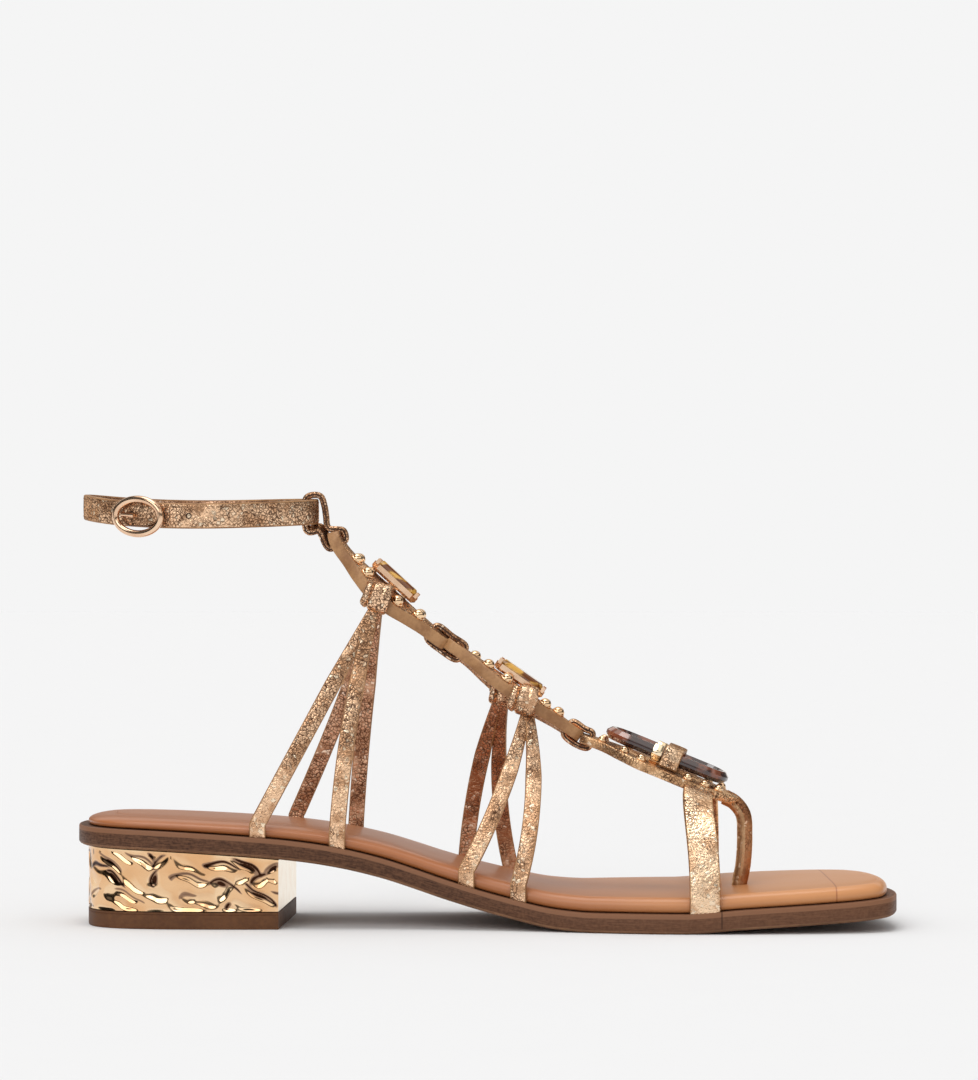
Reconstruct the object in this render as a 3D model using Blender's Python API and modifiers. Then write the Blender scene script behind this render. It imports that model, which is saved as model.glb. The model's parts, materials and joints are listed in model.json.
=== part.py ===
"""Gladiator sandal, left foot, standing on its sole.

A stacked outsole on a plated block heel carries a padded insole. The upper is a spine of three
curved plaques that leather loops link to each other and to the ankle strap. Pairs of narrow straps
run down from the plaques to the sole, wide straps and a toe post hold the front plaque.

Frame: +X points to the toe, -Y to the inner side of the foot, +Z up. The origin is on the floor
under the middle of the sole. Sizes are in millimetres and become metres when a mesh is made.
"""

import math
from dataclasses import dataclass

import bmesh
import bpy
import numpy as np
from mathutils import Matrix, Vector

MM = 0.001

# Sole
SOLE_LENGTH = 253.1
BALL_WIDTH = 86.0
SEAT_HEIGHT = 25.0  # underside of the outsole at the back of the heel
TOE_SPRING = 4.8
OUTSOLE_THICKNESS = 6.0
INSOLE_THICKNESS = 4.5
INSOLE_EDGE_ROUND = 3.2
RIM = 3.0  # ledge of the outsole outside the insole
FIT_GAP = 0.3  # clearance where two pieces meet

# Heel
HEEL_LENGTH = 61.8
HEEL_INSET = 1.6  # the block stands this far inside the outsole at its sides
HEEL_BACK_INSET = 3.0  # and this far at the back
HEEL_BACK_REACH = 8.0  # over this distance the one becomes the other
BREAST_SKEW = 2.8  # the outer corner of the breast lies this much further forward
LIFT_THICKNESS = 5.2

# Straps
LEG_WIDTH = 5.0
LEG_THICKNESS = 1.3
LEG_TAPER = 0.62  # width at the knot as a share of the full width
LEG_NECK = 0.35  # share of its length over which it grows to that
LEG_DROP = 3.2  # start of the strap below the middle of the plaque's thickness
LEG_SPREAD = 2.2  # how soon it spreads to the side on its way down
SIDE_STRAP_WIDTH = 9.3
SIDE_STRAP_THICKNESS = 1.8
FOOT_TURN = 1.2  # radius of the turn where a strap goes in under the insole
FOOT_TAIL = 6.0  # length of strap held between insole and outsole
POST_DIAMETER = 4.8
POST_AT = 0.8110  # foot of the toe post, as a share of the sole's length from the back
KNOT_SIZE = (8.2, 7.0, 9.0)  # of the loop that wraps a plaque's edge: along it, across, down the legs
KNOT_BAND = 2.0  # thickness of that loop, two layers of strap
KNOT_INSET = 0.7  # its middle inside the plaque's edge
KNOT_RISE = 0.15  # and above the middle of its thickness

# Ankle strap
ANKLE_HEIGHT = 126.4  # middle of the strap above the floor, on the buckle's side
OUTER_RISE = 1.6  # how much higher the strap lies on the outer side
FRONT_RISE = 0.8  # and how much its front and its back rise over its sides
BACK_RISE = 2.2
ANKLE_LENGTH = 73.4
ANKLE_WIDTH = 54.0
ANKLE_FRONT = 0.2945  # front end of the strap, as a share of the sole's length from the back
ANKLE_STRAP_WIDTH = 7.8
ANKLE_STRAP_THICKNESS = 2.0
STRAP_SQUARENESS = 0.35  # 0 gives an oval strap, more a squarer one
STRAP_END_LENGTH = 13.0
STRAP_END_THICKNESS = 1.3
STRAP_END_INSET = 0.3  # how much lower its edge lies than the strap's

# Buckle
BUCKLE_LENGTH = 18.0
BUCKLE_HEIGHT = 12.8
BUCKLE_WIRE = 2.2
BUCKLE_PLACE = 0.725  # share of the strap's length back from its front end
BUCKLE_DROP = 0.6  # its middle below the strap's
BUCKLE_LIFT = 1.0  # more room under it than the clearance, for the strap's end
PRONG_DIAMETER = 1.4

# Links
LINK_WIDTH = 5.0
LINK_THICKNESS = 1.5
LINK_SLACK = 0.2  # more room between a link and the plaques than the clearance
SLOT_LENGTH = 3.4
LINK_TWIST = 0.35  # how far the lower strand of the ankle link turns its face to the inner side

# Plaques
ANKLE_PLAQUE_HALF_WIDTH = 12.0
ANKLE_PLAQUE_THICKNESS = 3.7
ANKLE_PLAQUE_FALL = 3.6  # edges below the middle at the widest place
INSTEP_PLAQUE_HALF_WIDTH = 11.5
INSTEP_PLAQUE_THICKNESS = 3.6
INSTEP_PLAQUE_FALL = 2.3
FRONT_PLAQUE_HALF_WIDTH = 12.6
FRONT_PLAQUE_THICKNESS = 2.8
FRONT_PLAQUE_FALL = 1.5

# Ornaments
STUD_DIAMETER = 3.8
SMALL_STUD_DIAMETER = 2.8
STUD_INSET = 0.9  # clear distance from a stud to the plaque's edge
CRYSTAL_LENGTH = 15.6
CRYSTAL_WIDTH = 7.0
CRYSTAL_HEIGHT = 3.1
SETTING_WALL = 0.8
SETTING_FLOOR = 0.7
CLAW_WIDTH = 1.1
CLAW_HEIGHT = 1.7
RING_LENGTH = 40.6
RING_WIDTH = 17.0
RING_BAR = 3.8
RING_AT = 0.515  # middle of the ring along the front plaque
WRAP_WIDTH = 5.8
WRAP_THICKNESS = 1.1
WRAP_SHIFT = 2.1  # middle of the wrap forward of the middle of the ring
CUFF_LENGTH = 3.2
CUFF_THICKNESS = 0.5

# Outline of the outsole: share of the length from the back, share of the ball width from the middle
INNER_SIDE = (
    (0.000, 0.000),
    (0.006, -0.140),
    (0.022, -0.230),
    (0.055, -0.293),
    (0.110, -0.325),
    (0.200, -0.335),
    (0.310, -0.324),
    (0.415, -0.330),
    (0.515, -0.368),
    (0.615, -0.436),
    (0.700, -0.488),
    (0.770, -0.500),
    (0.845, -0.492),
    (0.915, -0.472),
    (0.960, -0.447),
    (0.985, -0.400),
    (0.996, -0.310),
    (1.000, -0.180),
)
OUTER_SIDE = (
    (0.000, 0.000),
    (0.006, 0.140),
    (0.021, 0.228),
    (0.052, 0.288),
    (0.100, 0.318),
    (0.180, 0.330),
    (0.280, 0.332),
    (0.380, 0.342),
    (0.480, 0.365),
    (0.575, 0.412),
    (0.670, 0.472),
    (0.750, 0.500),
    (0.820, 0.490),
    (0.880, 0.455),
    (0.930, 0.390),
    (0.965, 0.290),
    (0.985, 0.160),
    (0.996, 0.000),
    (1.000, -0.180),
)

# Underside of the outsole: share of the length, share of the seat height, share of the toe spring
SOLE_PROFILE = (
    (0.000, 1.000, 0.00),
    (0.096, 0.966, 0.00),
    (0.215, 0.892, 0.00),
    (0.276, 0.830, 0.00),
    (0.324, 0.752, 0.00),
    (0.373, 0.635, 0.00),
    (0.415, 0.500, 0.00),
    (0.450, 0.380, 0.00),
    (0.518, 0.182, 0.00),
    (0.590, 0.028, 0.00),
    (0.632, 0.000, 0.00),
    (0.735, 0.000, 0.00),
    (0.805, 0.000, 0.26),
    (0.938, 0.000, 0.70),
    (1.000, 0.000, 1.00),
)

# Insole: share of the length, share of its thickness, share of the round of its edge
INSOLE_SHAPE = (
    (0.000, 0.70, 2.7),
    (0.100, 0.75, 2.7),
    (0.250, 0.84, 2.4),
    (0.420, 0.96, 1.5),
    (0.560, 1.00, 1.0),
    (1.000, 1.00, 1.0),
)

# Half width of a plaque along its length: share of the length, share of the half width
PLAQUE_OUTLINE = (
    (0.00, 0.33),
    (0.03, 0.43),
    (0.15, 0.52),
    (0.30, 0.84),
    (0.44, 1.00),
    (0.58, 0.97),
    (0.72, 0.76),
    (0.86, 0.53),
    (0.97, 0.43),
    (1.00, 0.33),
)
FRONT_OUTLINE = (
    (0.00, 0.30),
    (0.03, 0.40),
    (0.12, 0.48),
    (0.26, 0.80),
    (0.42, 1.00),
    (0.62, 1.00),
    (0.78, 0.90),
    (0.90, 0.66),
    (0.97, 0.44),
    (1.00, 0.32),
)

# Sampling
OUTLINE_SAMPLES = 12  # points in each span of a smooth outline
SOLE_STATIONS = 34
PLAQUE_STATIONS = 14
LEG_STATIONS = 9
STRAP_STATIONS = 44
LOOP_STATIONS = 28
KNOT_STATIONS = 14
ROUND_SIDES = 10


def point_on_length(share):
    """The X of a place given as a share of the sole's length from the back."""
    return (share - 0.5) * SOLE_LENGTH


# Curves


def smooth(points, spans, closed=False):
    """Points along a centripetal Catmull-Rom curve through the given points."""
    points = [np.array(p, float) for p in points]
    if closed:
        around = [points[-1], *points, points[0], points[1]]
    else:
        around = [2 * points[0] - points[1], *points, 2 * points[-1] - points[-2]]
    curve = []
    for p0, p1, p2, p3 in zip(around, around[1:], around[2:], around[3:]):
        t1 = math.sqrt(np.linalg.norm(p1 - p0))
        t2 = t1 + math.sqrt(np.linalg.norm(p2 - p1))
        t3 = t2 + math.sqrt(np.linalg.norm(p3 - p2))
        for t in np.linspace(t1, t2, spans, endpoint=False):
            a1 = ((t1 - t) * p0 + t * p1) / t1
            a2 = ((t2 - t) * p1 + (t - t1) * p2) / (t2 - t1)
            a3 = ((t3 - t) * p2 + (t - t2) * p3) / (t3 - t2)
            b1 = ((t2 - t) * a1 + t * a2) / t2
            b2 = ((t3 - t) * a2 + (t - t1) * a3) / (t3 - t1)
            curve.append(((t2 - t) * b1 + (t - t1) * b2) / (t2 - t1))
    return np.array(curve if closed else [*curve, points[-1]])


def spread(path, count, closed=False):
    """The path as points at equal distances along it."""
    run = np.array([*path, path[0]]) if closed else np.array(path)
    steps = np.linalg.norm(np.diff(run, axis=0), axis=1)
    far = np.concatenate([[0.0], np.cumsum(steps)])
    places = np.linspace(0.0, far[-1], count + 1)
    even = np.stack([np.interp(places, far, run[:, k]) for k in range(run.shape[1])], axis=1)
    return even[:-1] if closed else even


def steady(rows, column):
    """A curve through table rows that never overshoots between two of them."""
    xs = np.array([row[0] for row in rows])
    ys = np.array([row[column] for row in rows])
    slopes = np.diff(ys) / np.diff(xs)
    ends = [slopes[0]]
    for before, after in zip(slopes, slopes[1:]):
        ends.append(2 * before * after / (before + after) if before * after > 0 else 0.0)
    ends.append(slopes[-1])

    def value(x):
        k = int(np.clip(np.searchsorted(xs, x) - 1, 0, len(slopes) - 1))
        width = xs[k + 1] - xs[k]
        u = float(np.clip((x - xs[k]) / width, 0.0, 1.0))
        rest = 1.0 - u
        level = ys[k] * (1 + 2 * u) * rest**2 + ys[k + 1] * u**2 * (3 - 2 * u)
        return level + width * (ends[k] * u * rest**2 - ends[k + 1] * u**2 * rest)

    return value


def unit(vector):
    """The vector at length one."""
    return vector / np.linalg.norm(vector)


seat_share = steady(SOLE_PROFILE, 1)
spring_share = steady(SOLE_PROFILE, 2)
insole_share = steady(INSOLE_SHAPE, 1)
round_share = steady(INSOLE_SHAPE, 2)


def underside(x):
    """Height of the outsole's lower face at a place along the sole."""
    share = x / SOLE_LENGTH + 0.5
    return seat_share(share) * SEAT_HEIGHT + spring_share(share) * TOE_SPRING


def ledge(x):
    """Height of the outsole's upper face."""
    return underside(x) + OUTSOLE_THICKNESS


def insole_height(x):
    """Thickness of the insole at a place along it."""
    return INSOLE_THICKNESS * insole_share(x / SOLE_LENGTH + 0.5)


def footbed(x):
    """Height of the insole's upper face."""
    return ledge(x) + FIT_GAP + insole_height(x)


# Outline of the sole


def sole_outline():
    """The inner and the outer side of the outsole, each from the heel to the tip of the toe."""
    loop = [*INNER_SIDE, *OUTER_SIDE[-2:0:-1]]
    places = [(point_on_length(along), across * BALL_WIDTH) for along, across in loop]
    curve = smooth(places, OUTLINE_SAMPLES, closed=True)
    tip = (len(INNER_SIDE) - 1) * OUTLINE_SAMPLES
    return curve[: tip + 1], np.array([curve[0], *curve[: tip - 1 : -1]])


INNER_EDGE, OUTER_EDGE = sole_outline()


def inset_side(side, inset):
    """One side of the outline, moved inwards by the inset, which may be a function of X."""
    edge = INNER_EDGE if side < 0 else OUTER_EDGE
    if callable(inset):
        inset = np.array([inset(x) for x in edge[:, 0]])[:, None]
    along = np.gradient(edge, axis=0)
    along[0] = (0.0, side)
    along[-1] = (0.0, -side)
    inward = np.stack([along[:, 1], -along[:, 0]], axis=1) * side
    inward /= np.linalg.norm(inward, axis=1)[:, None]
    return edge + inward * inset


def side_stations(side, inset, count=SOLE_STATIONS, end=None):
    """Evenly spaced points along one side, up to the tip or up to the place where it is cut off."""
    edge = inset_side(side, inset)
    if end is not None:
        kept = edge[edge[:, 0] < end]
        edge = np.array([*kept, (end, np.interp(end, edge[:, 0], edge[:, 1]))])
    return spread(edge, count)


# Meshes


def tidy_mesh(mesh_data):
    """Faces pointing out on a closed mesh."""
    bmesh.ops.recalc_face_normals(mesh_data, faces=mesh_data.faces)


def add_object(name, vertices, faces, material, sharp=40.0):
    """A named object from points in millimetres."""
    mesh = bpy.data.meshes.new(name)
    mesh.from_pydata([tuple(float(c) * MM for c in v) for v in vertices], [], faces)
    work = bmesh.new()
    work.from_mesh(mesh)
    tidy_mesh(work)
    work.to_mesh(mesh)
    work.free()
    return add_mesh(name, mesh, material, sharp)


def add_mesh(name, mesh, material, sharp=40.0):
    """A named object on a mesh that is already in metres."""
    mesh.materials.clear()
    mesh.materials.append(material)
    mesh.shade_smooth()
    mesh.set_sharp_from_angle(angle=math.radians(sharp))
    made = bpy.data.objects.new(name, mesh)
    SANDAL.objects.link(made)
    return made


def bake(made):
    """Replace an object's mesh by its evaluated one, with its place in the points."""
    bpy.context.view_layer.update()
    graph = bpy.context.evaluated_depsgraph_get()
    mesh = bpy.data.meshes.new_from_object(made.evaluated_get(graph))
    mesh.transform(made.matrix_world)
    work = bmesh.new()
    work.from_mesh(mesh)
    bmesh.ops.remove_doubles(work, verts=work.verts, dist=0.002 * MM)
    work.to_mesh(mesh)
    work.free()
    name = made.name
    material = made.data.materials[0]
    bpy.data.objects.remove(made)
    mesh.name = name
    return add_mesh(name, mesh, material)


def combine(base, others, operation):
    """Join other solids to the base, or cut them out of it."""
    for other in others:
        change = base.modifiers.new(other.name, "BOOLEAN")
        change.operation = operation
        change.solver = "EXACT"
        change.object = other
    result = bake(base)
    for other in others:
        bpy.data.objects.remove(other)
    return result


def block(name, centre, axes, size):
    """A box primitive on three axes, used as a cutter or a stone blank."""
    bpy.ops.mesh.primitive_cube_add(size=1.0)
    made = bpy.context.object
    made.name = name
    made.data.materials.append(MATERIALS["tan_leather"])
    turn = Matrix([Vector(a) for a in axes]).transposed().to_4x4()
    made.matrix_world = (
        Matrix.Translation(Vector(centre) * MM) @ turn @ Matrix.Diagonal((*(s * MM for s in size), 1.0))
    )
    return bake(made)


def slab(name, levels, columns, material, crown=0.0):
    """A plate lofted between outlines stacked from its bottom to its top.

    A level is an inner side, an outer side and a height function. The last points of the two sides
    are one point at a toe, or two points with a straight end between them.
    """
    pointed = np.allclose(levels[0][0][-1], levels[0][1][-1], atol=0.01)
    shares = np.linspace(0.0, 1.0, columns + 1)
    vertices, loops, faces = [], [], []
    for inner, outer, height in levels:
        end = [] if pointed else [inner[-1] + (outer[-1] - inner[-1]) * s for s in shares[1:-1]]
        ring = [*inner, *end, *(outer[-2:0:-1] if pointed else outer[:0:-1])]
        loops.append(list(range(len(vertices), len(vertices) + len(ring))))
        vertices += [(x, y, height(x)) for x, y in ring]
    for lower, upper in zip(loops, loops[1:]):
        for k, here in enumerate(lower):
            after = (k + 1) % len(lower)
            faces.append((here, lower[after], upper[after], upper[k]))
    for level, loop, rise in ((levels[0], loops[0], 0.0), (levels[-1], loops[-1], crown)):
        inner, outer, height = level
        rows = [[loop[0]]]
        last = len(inner) - 1
        for k in range(1, last):
            row = [loop[k]]
            for share in shares[1:-1]:
                x, y = inner[k] + (outer[k] - inner[k]) * share
                lift = rise * (1.0 - (2.0 * share - 1.0) ** 4)
                row.append(len(vertices))
                vertices.append((x, y, height(x) + lift))
            rows.append([*row, loop[-k]])
        rows.append([loop[last]] if pointed else loop[last : last + columns + 1])
        for before, after in zip(rows, rows[1:]):
            for j in range(columns):
                corners = (
                    before[min(j, len(before) - 1)],
                    before[min(j + 1, len(before) - 1)],
                    after[min(j + 1, len(after) - 1)],
                    after[min(j, len(after) - 1)],
                )
                faces.append(tuple(dict.fromkeys(corners)))
    return add_object(name, vertices, faces, material)


def ribbon(name, centres, across, width, thickness, material, closed=False):
    """A flat strap along a path; across is its width direction, and the width may differ, at each point."""
    centres = np.array(centres)
    count = len(centres)
    widths = np.broadcast_to(width, count)
    if closed:
        tangents = np.roll(centres, -1, axis=0) - np.roll(centres, 1, axis=0)
    else:
        tangents = np.gradient(centres, axis=0)
    vertices = []
    for centre, tangent, direction, wide in zip(centres, tangents, across, widths):
        tangent = unit(tangent)
        normal = unit(np.cross(tangent, direction))
        side = direction / np.linalg.norm(np.cross(tangent, direction)) * wide / 2
        up = normal * thickness / 2
        vertices += [centre - side - up, centre + side - up, centre + side + up, centre - side + up]
    faces = []
    for k in range(count if closed else count - 1):
        here, after = 4 * k, 4 * ((k + 1) % count)
        for j in range(4):
            nxt = (j + 1) % 4
            faces.append((here + j, here + nxt, after + nxt, after + j))
    if not closed:
        faces += [(0, 1, 2, 3), tuple(range(4 * count - 4, 4 * count))]
    return add_object(name, vertices, faces, material)


def tube(name, path, diameter, material, closed=False):
    """A round bar along a path, from a curve with a bevel and filled caps."""
    curve = bpy.data.curves.new(name, "CURVE")
    curve.dimensions = "3D"
    curve.bevel_depth = diameter / 2 * MM
    curve.bevel_resolution = 3
    curve.use_fill_caps = not closed
    line = curve.splines.new("POLY")
    line.points.add(len(path) - 1)
    line.use_cyclic_u = closed
    for point, place in zip(line.points, path):
        point.co = (*(float(c) * MM for c in place), 1.0)
    curve.materials.append(material)
    made = bpy.data.objects.new(name, curve)
    SANDAL.objects.link(made)
    return bake(made)


def turned(name, profile, material, steps=ROUND_SIDES):
    """A round piece from a profile of radius and height, with the Screw modifier."""
    mesh = bpy.data.meshes.new(name)
    points = [(radius * MM, 0.0, height * MM) for radius, height in profile]
    mesh.from_pydata(points, [(k, k + 1) for k in range(len(points) - 1)], [])
    mesh.materials.append(material)
    made = bpy.data.objects.new(name, mesh)
    SANDAL.objects.link(made)
    screw = made.modifiers.new("turn", "SCREW")
    screw.steps = screw.render_steps = steps
    screw.use_merge_vertices = True
    screw.merge_threshold = 0.00001
    return bake(made)


# Plaques


@dataclass
class Plaque:
    """A curved plaque of the spine, with places on it given as shares of its length and half width."""

    name: str
    outline: tuple
    start: tuple  # along (share of the sole's length), across (mm), height (share of the ankle height)
    end: tuple
    bow: float  # how far the middle stands above the chord
    neck: float  # how far the rear neck stands above that
    roll: float  # how much higher the inner edge is than the middle
    half_width: float
    fall: float  # how far the edges lie below the middle at the widest place
    thickness: float
    slots: tuple  # middle of each slot: distance from the start, or below zero from the end

    def ends(self):
        """The two ends of the centre line."""
        return [
            np.array((point_on_length(along), across, height * ANKLE_HEIGHT))
            for along, across, height in (self.start, self.end)
        ]

    def length(self):
        """Distance between the two ends."""
        first, last = self.ends()
        return float(np.linalg.norm(last - first))

    def axes(self, share):
        """Directions along, across to the outer side, and out of the plaque at a share of its length."""
        first, last = self.ends()
        chord = unit(last - first)
        out = unit(np.cross(chord, (0.0, 1.0, 0.0)))
        step = 0.005
        slope = (self.rise(share + step) - self.rise(share - step)) / (2 * step * self.length())
        along = unit(chord + out * slope)
        across = unit(np.cross((0.0, 0.0, 1.0), along))
        return along, across, unit(np.cross(along, across))

    def rise(self, share):
        """Height of the centre line over the straight line between the two ends."""
        peak = 6**6 / 7**7
        return self.bow * 4 * share * (1 - share) + self.neck * share * (1 - share) ** 6 / peak

    def middle(self, share):
        """The centre line at half the thickness."""
        first, last = self.ends()
        out = unit(np.cross(unit(last - first), (0.0, 1.0, 0.0)))
        return first + (last - first) * share + out * self.rise(share)

    def half(self, share):
        """Half the width at a share of the length."""
        return steady(self.outline, 1)(share) * self.half_width

    def point(self, share, across, lift=0.0):
        """A place at a distance across from the centre line and a height over half the thickness."""
        _, side, out = self.axes(share)
        reach = across / self.half_width
        drop = self.fall * reach**2 + self.roll * reach
        return self.middle(share) + side * across + out * (lift - drop)

    def slot(self, number):
        """Middle and axes of the slot for a link."""
        share = self.slots[number] / self.length() % 1.0
        return self.middle(share), self.axes(share)

    def build(self):
        """The plaque as a solid with its slots cut through."""
        across = np.array((-1.0, -0.85, -0.45, 0.0, 0.45, 0.85, 1.0))
        edge_drop = 0.18 * self.thickness
        half = self.thickness / 2
        vertices, faces = [], []
        shares = 0.5 - 0.5 * np.cos(np.linspace(0.12, math.pi - 0.12, PLAQUE_STATIONS + 1))
        shares = (shares - shares[0]) / (shares[-1] - shares[0])
        for share in shares:
            wide = self.half(share)
            top = [half - edge_drop * (abs(a) > 0.99) for a in across]
            ring = [self.point(share, a * wide, lift) for a, lift in zip(across, top)]
            ring += [self.point(share, a * wide, -half) for a in across[::-2]]
            vertices += ring
        size = len(across) + len(across[::-2])
        for k in range(PLAQUE_STATIONS):
            for j in range(size):
                nxt = (j + 1) % size
                faces.append((k * size + j, k * size + nxt, (k + 1) * size + nxt, (k + 1) * size + j))
        faces += [tuple(range(size)), tuple(range(PLAQUE_STATIONS * size, (PLAQUE_STATIONS + 1) * size))]
        body = add_object(self.name, vertices, faces, MATERIALS["gold_leather"])
        cutters = []
        for number in range(len(self.slots)):
            middle, axes = self.slot(number)
            size = (SLOT_LENGTH, LINK_WIDTH + 2 * FIT_GAP, 3 * self.thickness)
            cutters.append(block("slot", middle, axes, size))
        return combine(body, cutters, "DIFFERENCE")


ANKLE_PLAQUE = Plaque(
    "ankle_upper", PLAQUE_OUTLINE, (0.3151, 0.0, 0.960), (0.4515, -1.0, 0.6875), bow=-1.25, neck=-1.5, roll=0.0,
    half_width=ANKLE_PLAQUE_HALF_WIDTH, fall=ANKLE_PLAQUE_FALL, thickness=ANKLE_PLAQUE_THICKNESS,
    slots=(3.2, -6.0),
)
INSTEP_PLAQUE = Plaque(
    "instep_upper", PLAQUE_OUTLINE, (0.4532, -1.2, 0.6870), (0.6164, -4.0, 0.4588), bow=0.2, neck=0.0, roll=1.5,
    half_width=INSTEP_PLAQUE_HALF_WIDTH, fall=INSTEP_PLAQUE_FALL, thickness=INSTEP_PLAQUE_THICKNESS,
    slots=(5.8, -4.8),
)
FRONT_PLAQUE = Plaque(
    "forefoot_upper", FRONT_OUTLINE, (0.6194, -4.2, 0.4554), (0.8070, -10.0, 0.304), bow=1.1, neck=0.0, roll=0.0,
    half_width=FRONT_PLAQUE_HALF_WIDTH, fall=FRONT_PLAQUE_FALL, thickness=FRONT_PLAQUE_THICKNESS,
    slots=(3.0,),
)


# Sole and heel


def make_outsole():
    """The stacked sole board, with its lower edge eased and its upper edge broken."""

    def level(inset, height):
        return side_stations(-1, inset), side_stations(1, inset), height

    waist_bevel, edge_break = 1.1, 0.5
    return slab(
        "outsole",
        [
            level(waist_bevel, underside),
            level(0.0, lambda x: underside(x) + 0.8 * waist_bevel),
            level(0.0, lambda x: ledge(x) - edge_break),
            level(edge_break, ledge),
        ],
        2,
        MATERIALS["brown_leather"],
    )


def make_insole():
    """The padded footbed, with a rounded upper edge and a slight crown."""

    lower_edge = 0.5
    side_share = 0.36  # of the thickness, below the round
    round_steps = 5

    def level(inset_share, height_share, lower=0.0):
        def inset(x):
            return RIM + lower + inset_share * INSOLE_EDGE_ROUND * round_share(x / SOLE_LENGTH + 0.5)

        def height(x):
            return ledge(x) + FIT_GAP + height_share * insole_height(x)

        return side_stations(-1, inset), side_stations(1, inset), height

    levels = [level(0.0, 0.0, 0.8 * lower_edge), level(0.0, lower_edge / INSOLE_THICKNESS)]
    for step in range(round_steps + 1):
        angle = math.pi / 2 * step / round_steps
        levels.append(level(1 - math.cos(angle), side_share + (1 - side_share) * math.sin(angle)))
    return slab("insole", levels, 4, MATERIALS["tan_leather"], crown=0.3)


def heel_level(height, inside=0.0):
    """One outline of the heel, cut off straight at the breast."""

    def inset(x):
        fade = math.exp(-(x + SOLE_LENGTH / 2) / HEEL_BACK_REACH)
        return inside + HEEL_INSET + (HEEL_BACK_INSET - HEEL_INSET) * fade

    count = 16
    breast = -SOLE_LENGTH / 2 + HEEL_BACK_INSET + HEEL_LENGTH
    inner = side_stations(-1, inset, count, breast - BREAST_SKEW / 2)
    outer = side_stations(1, inset, count, breast + BREAST_SKEW / 2)
    return inner, outer, height


def make_heel():
    """The plated block and the rubber lift under it."""
    block_foot = LIFT_THICKNESS + FIT_GAP
    slab(
        "heel_block",
        [heel_level(lambda x: block_foot), heel_level(lambda x: underside(x) - FIT_GAP)],
        2,
        MATERIALS["gold_plate"],
    )
    edge = 0.5
    slab(
        "top_lift",
        [
            heel_level(lambda x: 0.0, edge),
            heel_level(lambda x: edge),
            heel_level(lambda x: LIFT_THICKNESS),
        ],
        2,
        MATERIALS["brown_rubber"],
    )


# Straps that run down to the sole


@dataclass
class Foot:
    """The place where a strap goes in between insole and outsole."""

    side: int  # -1 on the inner side, +1 on the outer side
    along: float  # share of the sole's length
    width: float
    thickness: float

    def frame(self):
        """A point over the ledge, the direction along the edge, and the direction inwards."""
        x = point_on_length(self.along)
        edge = inset_side(self.side, RIM - FIT_GAP - self.thickness / 2)
        step = 1.0
        y = np.interp(x, edge[:, 0], edge[:, 1])
        y_after = np.interp(x + step, edge[:, 0], edge[:, 1])
        along = unit(np.array((step, y_after - y, ledge(x + step) - ledge(x))))
        inward = unit(np.array((-along[1], along[0], 0.0)) * -self.side)
        return np.array((x, y, ledge(x))), along, inward

    def path(self):
        """Points from over the insole's edge down, round the turn and in under the insole."""
        place, _, inward = self.frame()
        up = np.array((0.0, 0.0, 1.0))
        tail_level = -FIT_GAP - self.thickness / 2
        centre = place + inward * FOOT_TURN + up * (tail_level + FOOT_TURN)
        points = [place + up * (FIT_GAP + insole_height(place[0]))]
        for angle in np.radians((0.0, 30.0, 60.0, 90.0)):
            reach = inward * math.cos(angle) + up * math.sin(angle)
            points.append(centre - reach * FOOT_TURN)
        return [*points, points[-1] + inward * FOOT_TAIL]

    def pocket(self):
        """The cutter for the pocket in the outsole that takes the strap's end."""
        place, along, inward = self.frame()
        up = unit(np.cross(along, inward)) * -self.side
        depth = self.thickness + 2 * FIT_GAP
        length = self.thickness / 2 + FOOT_TURN + FOOT_TAIL + 2 * FIT_GAP
        over = 1.0
        centre = place + inward * (length / 2 - self.thickness / 2 - FIT_GAP) + up * (over - depth) / 2
        axes = (along * -self.side, inward, up)
        return block("pocket", centre, axes, (self.width + 3 * FIT_GAP, length, depth + over))


@dataclass
class Leg:
    """A narrow strap from a plaque's knot to the sole."""

    plaque: Plaque
    foot: Foot
    knot: float  # share of the plaque's length
    start: float  # offset along the plaque of its upper end from the knot
    bow: float  # how far its middle stands forward of the straight line

    def top(self):
        """The strap's upper end, inside the knot."""
        along, _, _ = self.plaque.axes(self.knot)
        reach = self.plaque.half(self.knot) - KNOT_INSET
        return self.plaque.point(self.knot, self.foot.side * reach, -LEG_DROP) + along * self.start

    def centres(self):
        """Centre points from inside the knot to over the insole's edge."""
        first, last = self.top(), self.foot.path()[0]
        points = []
        for share in self.shares():
            place = first + (last - first) * share
            place[0] += self.bow * 4 * share * (1 - share)
            place[1] = first[1] + (last[1] - first[1]) * (1 - (1 - share) ** LEG_SPREAD)
            points.append(place)
        return points

    def shares(self):
        """Places along the free part of the strap."""
        return np.linspace(0.0, 1.0, LEG_STATIONS, endpoint=False)

    def build(self):
        """The strap as a solid, narrow where it comes out of the knot."""
        along, _, _ = self.plaque.axes(self.knot)
        _, sole_along, _ = self.foot.frame()
        tail = self.foot.path()
        across = [unit(along * (1 - share) + sole_along * share) for share in self.shares()]
        grow = np.interp(self.shares(), (0.0, LEG_NECK), (LEG_TAPER, 1.0)) * self.foot.width
        return ribbon(
            "leg",
            [*self.centres(), *tail],
            [*across, *([sole_along] * len(tail))],
            [*grow, *([self.foot.width] * len(tail))],
            self.foot.thickness,
            MATERIALS["gold_leather"],
        )


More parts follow.
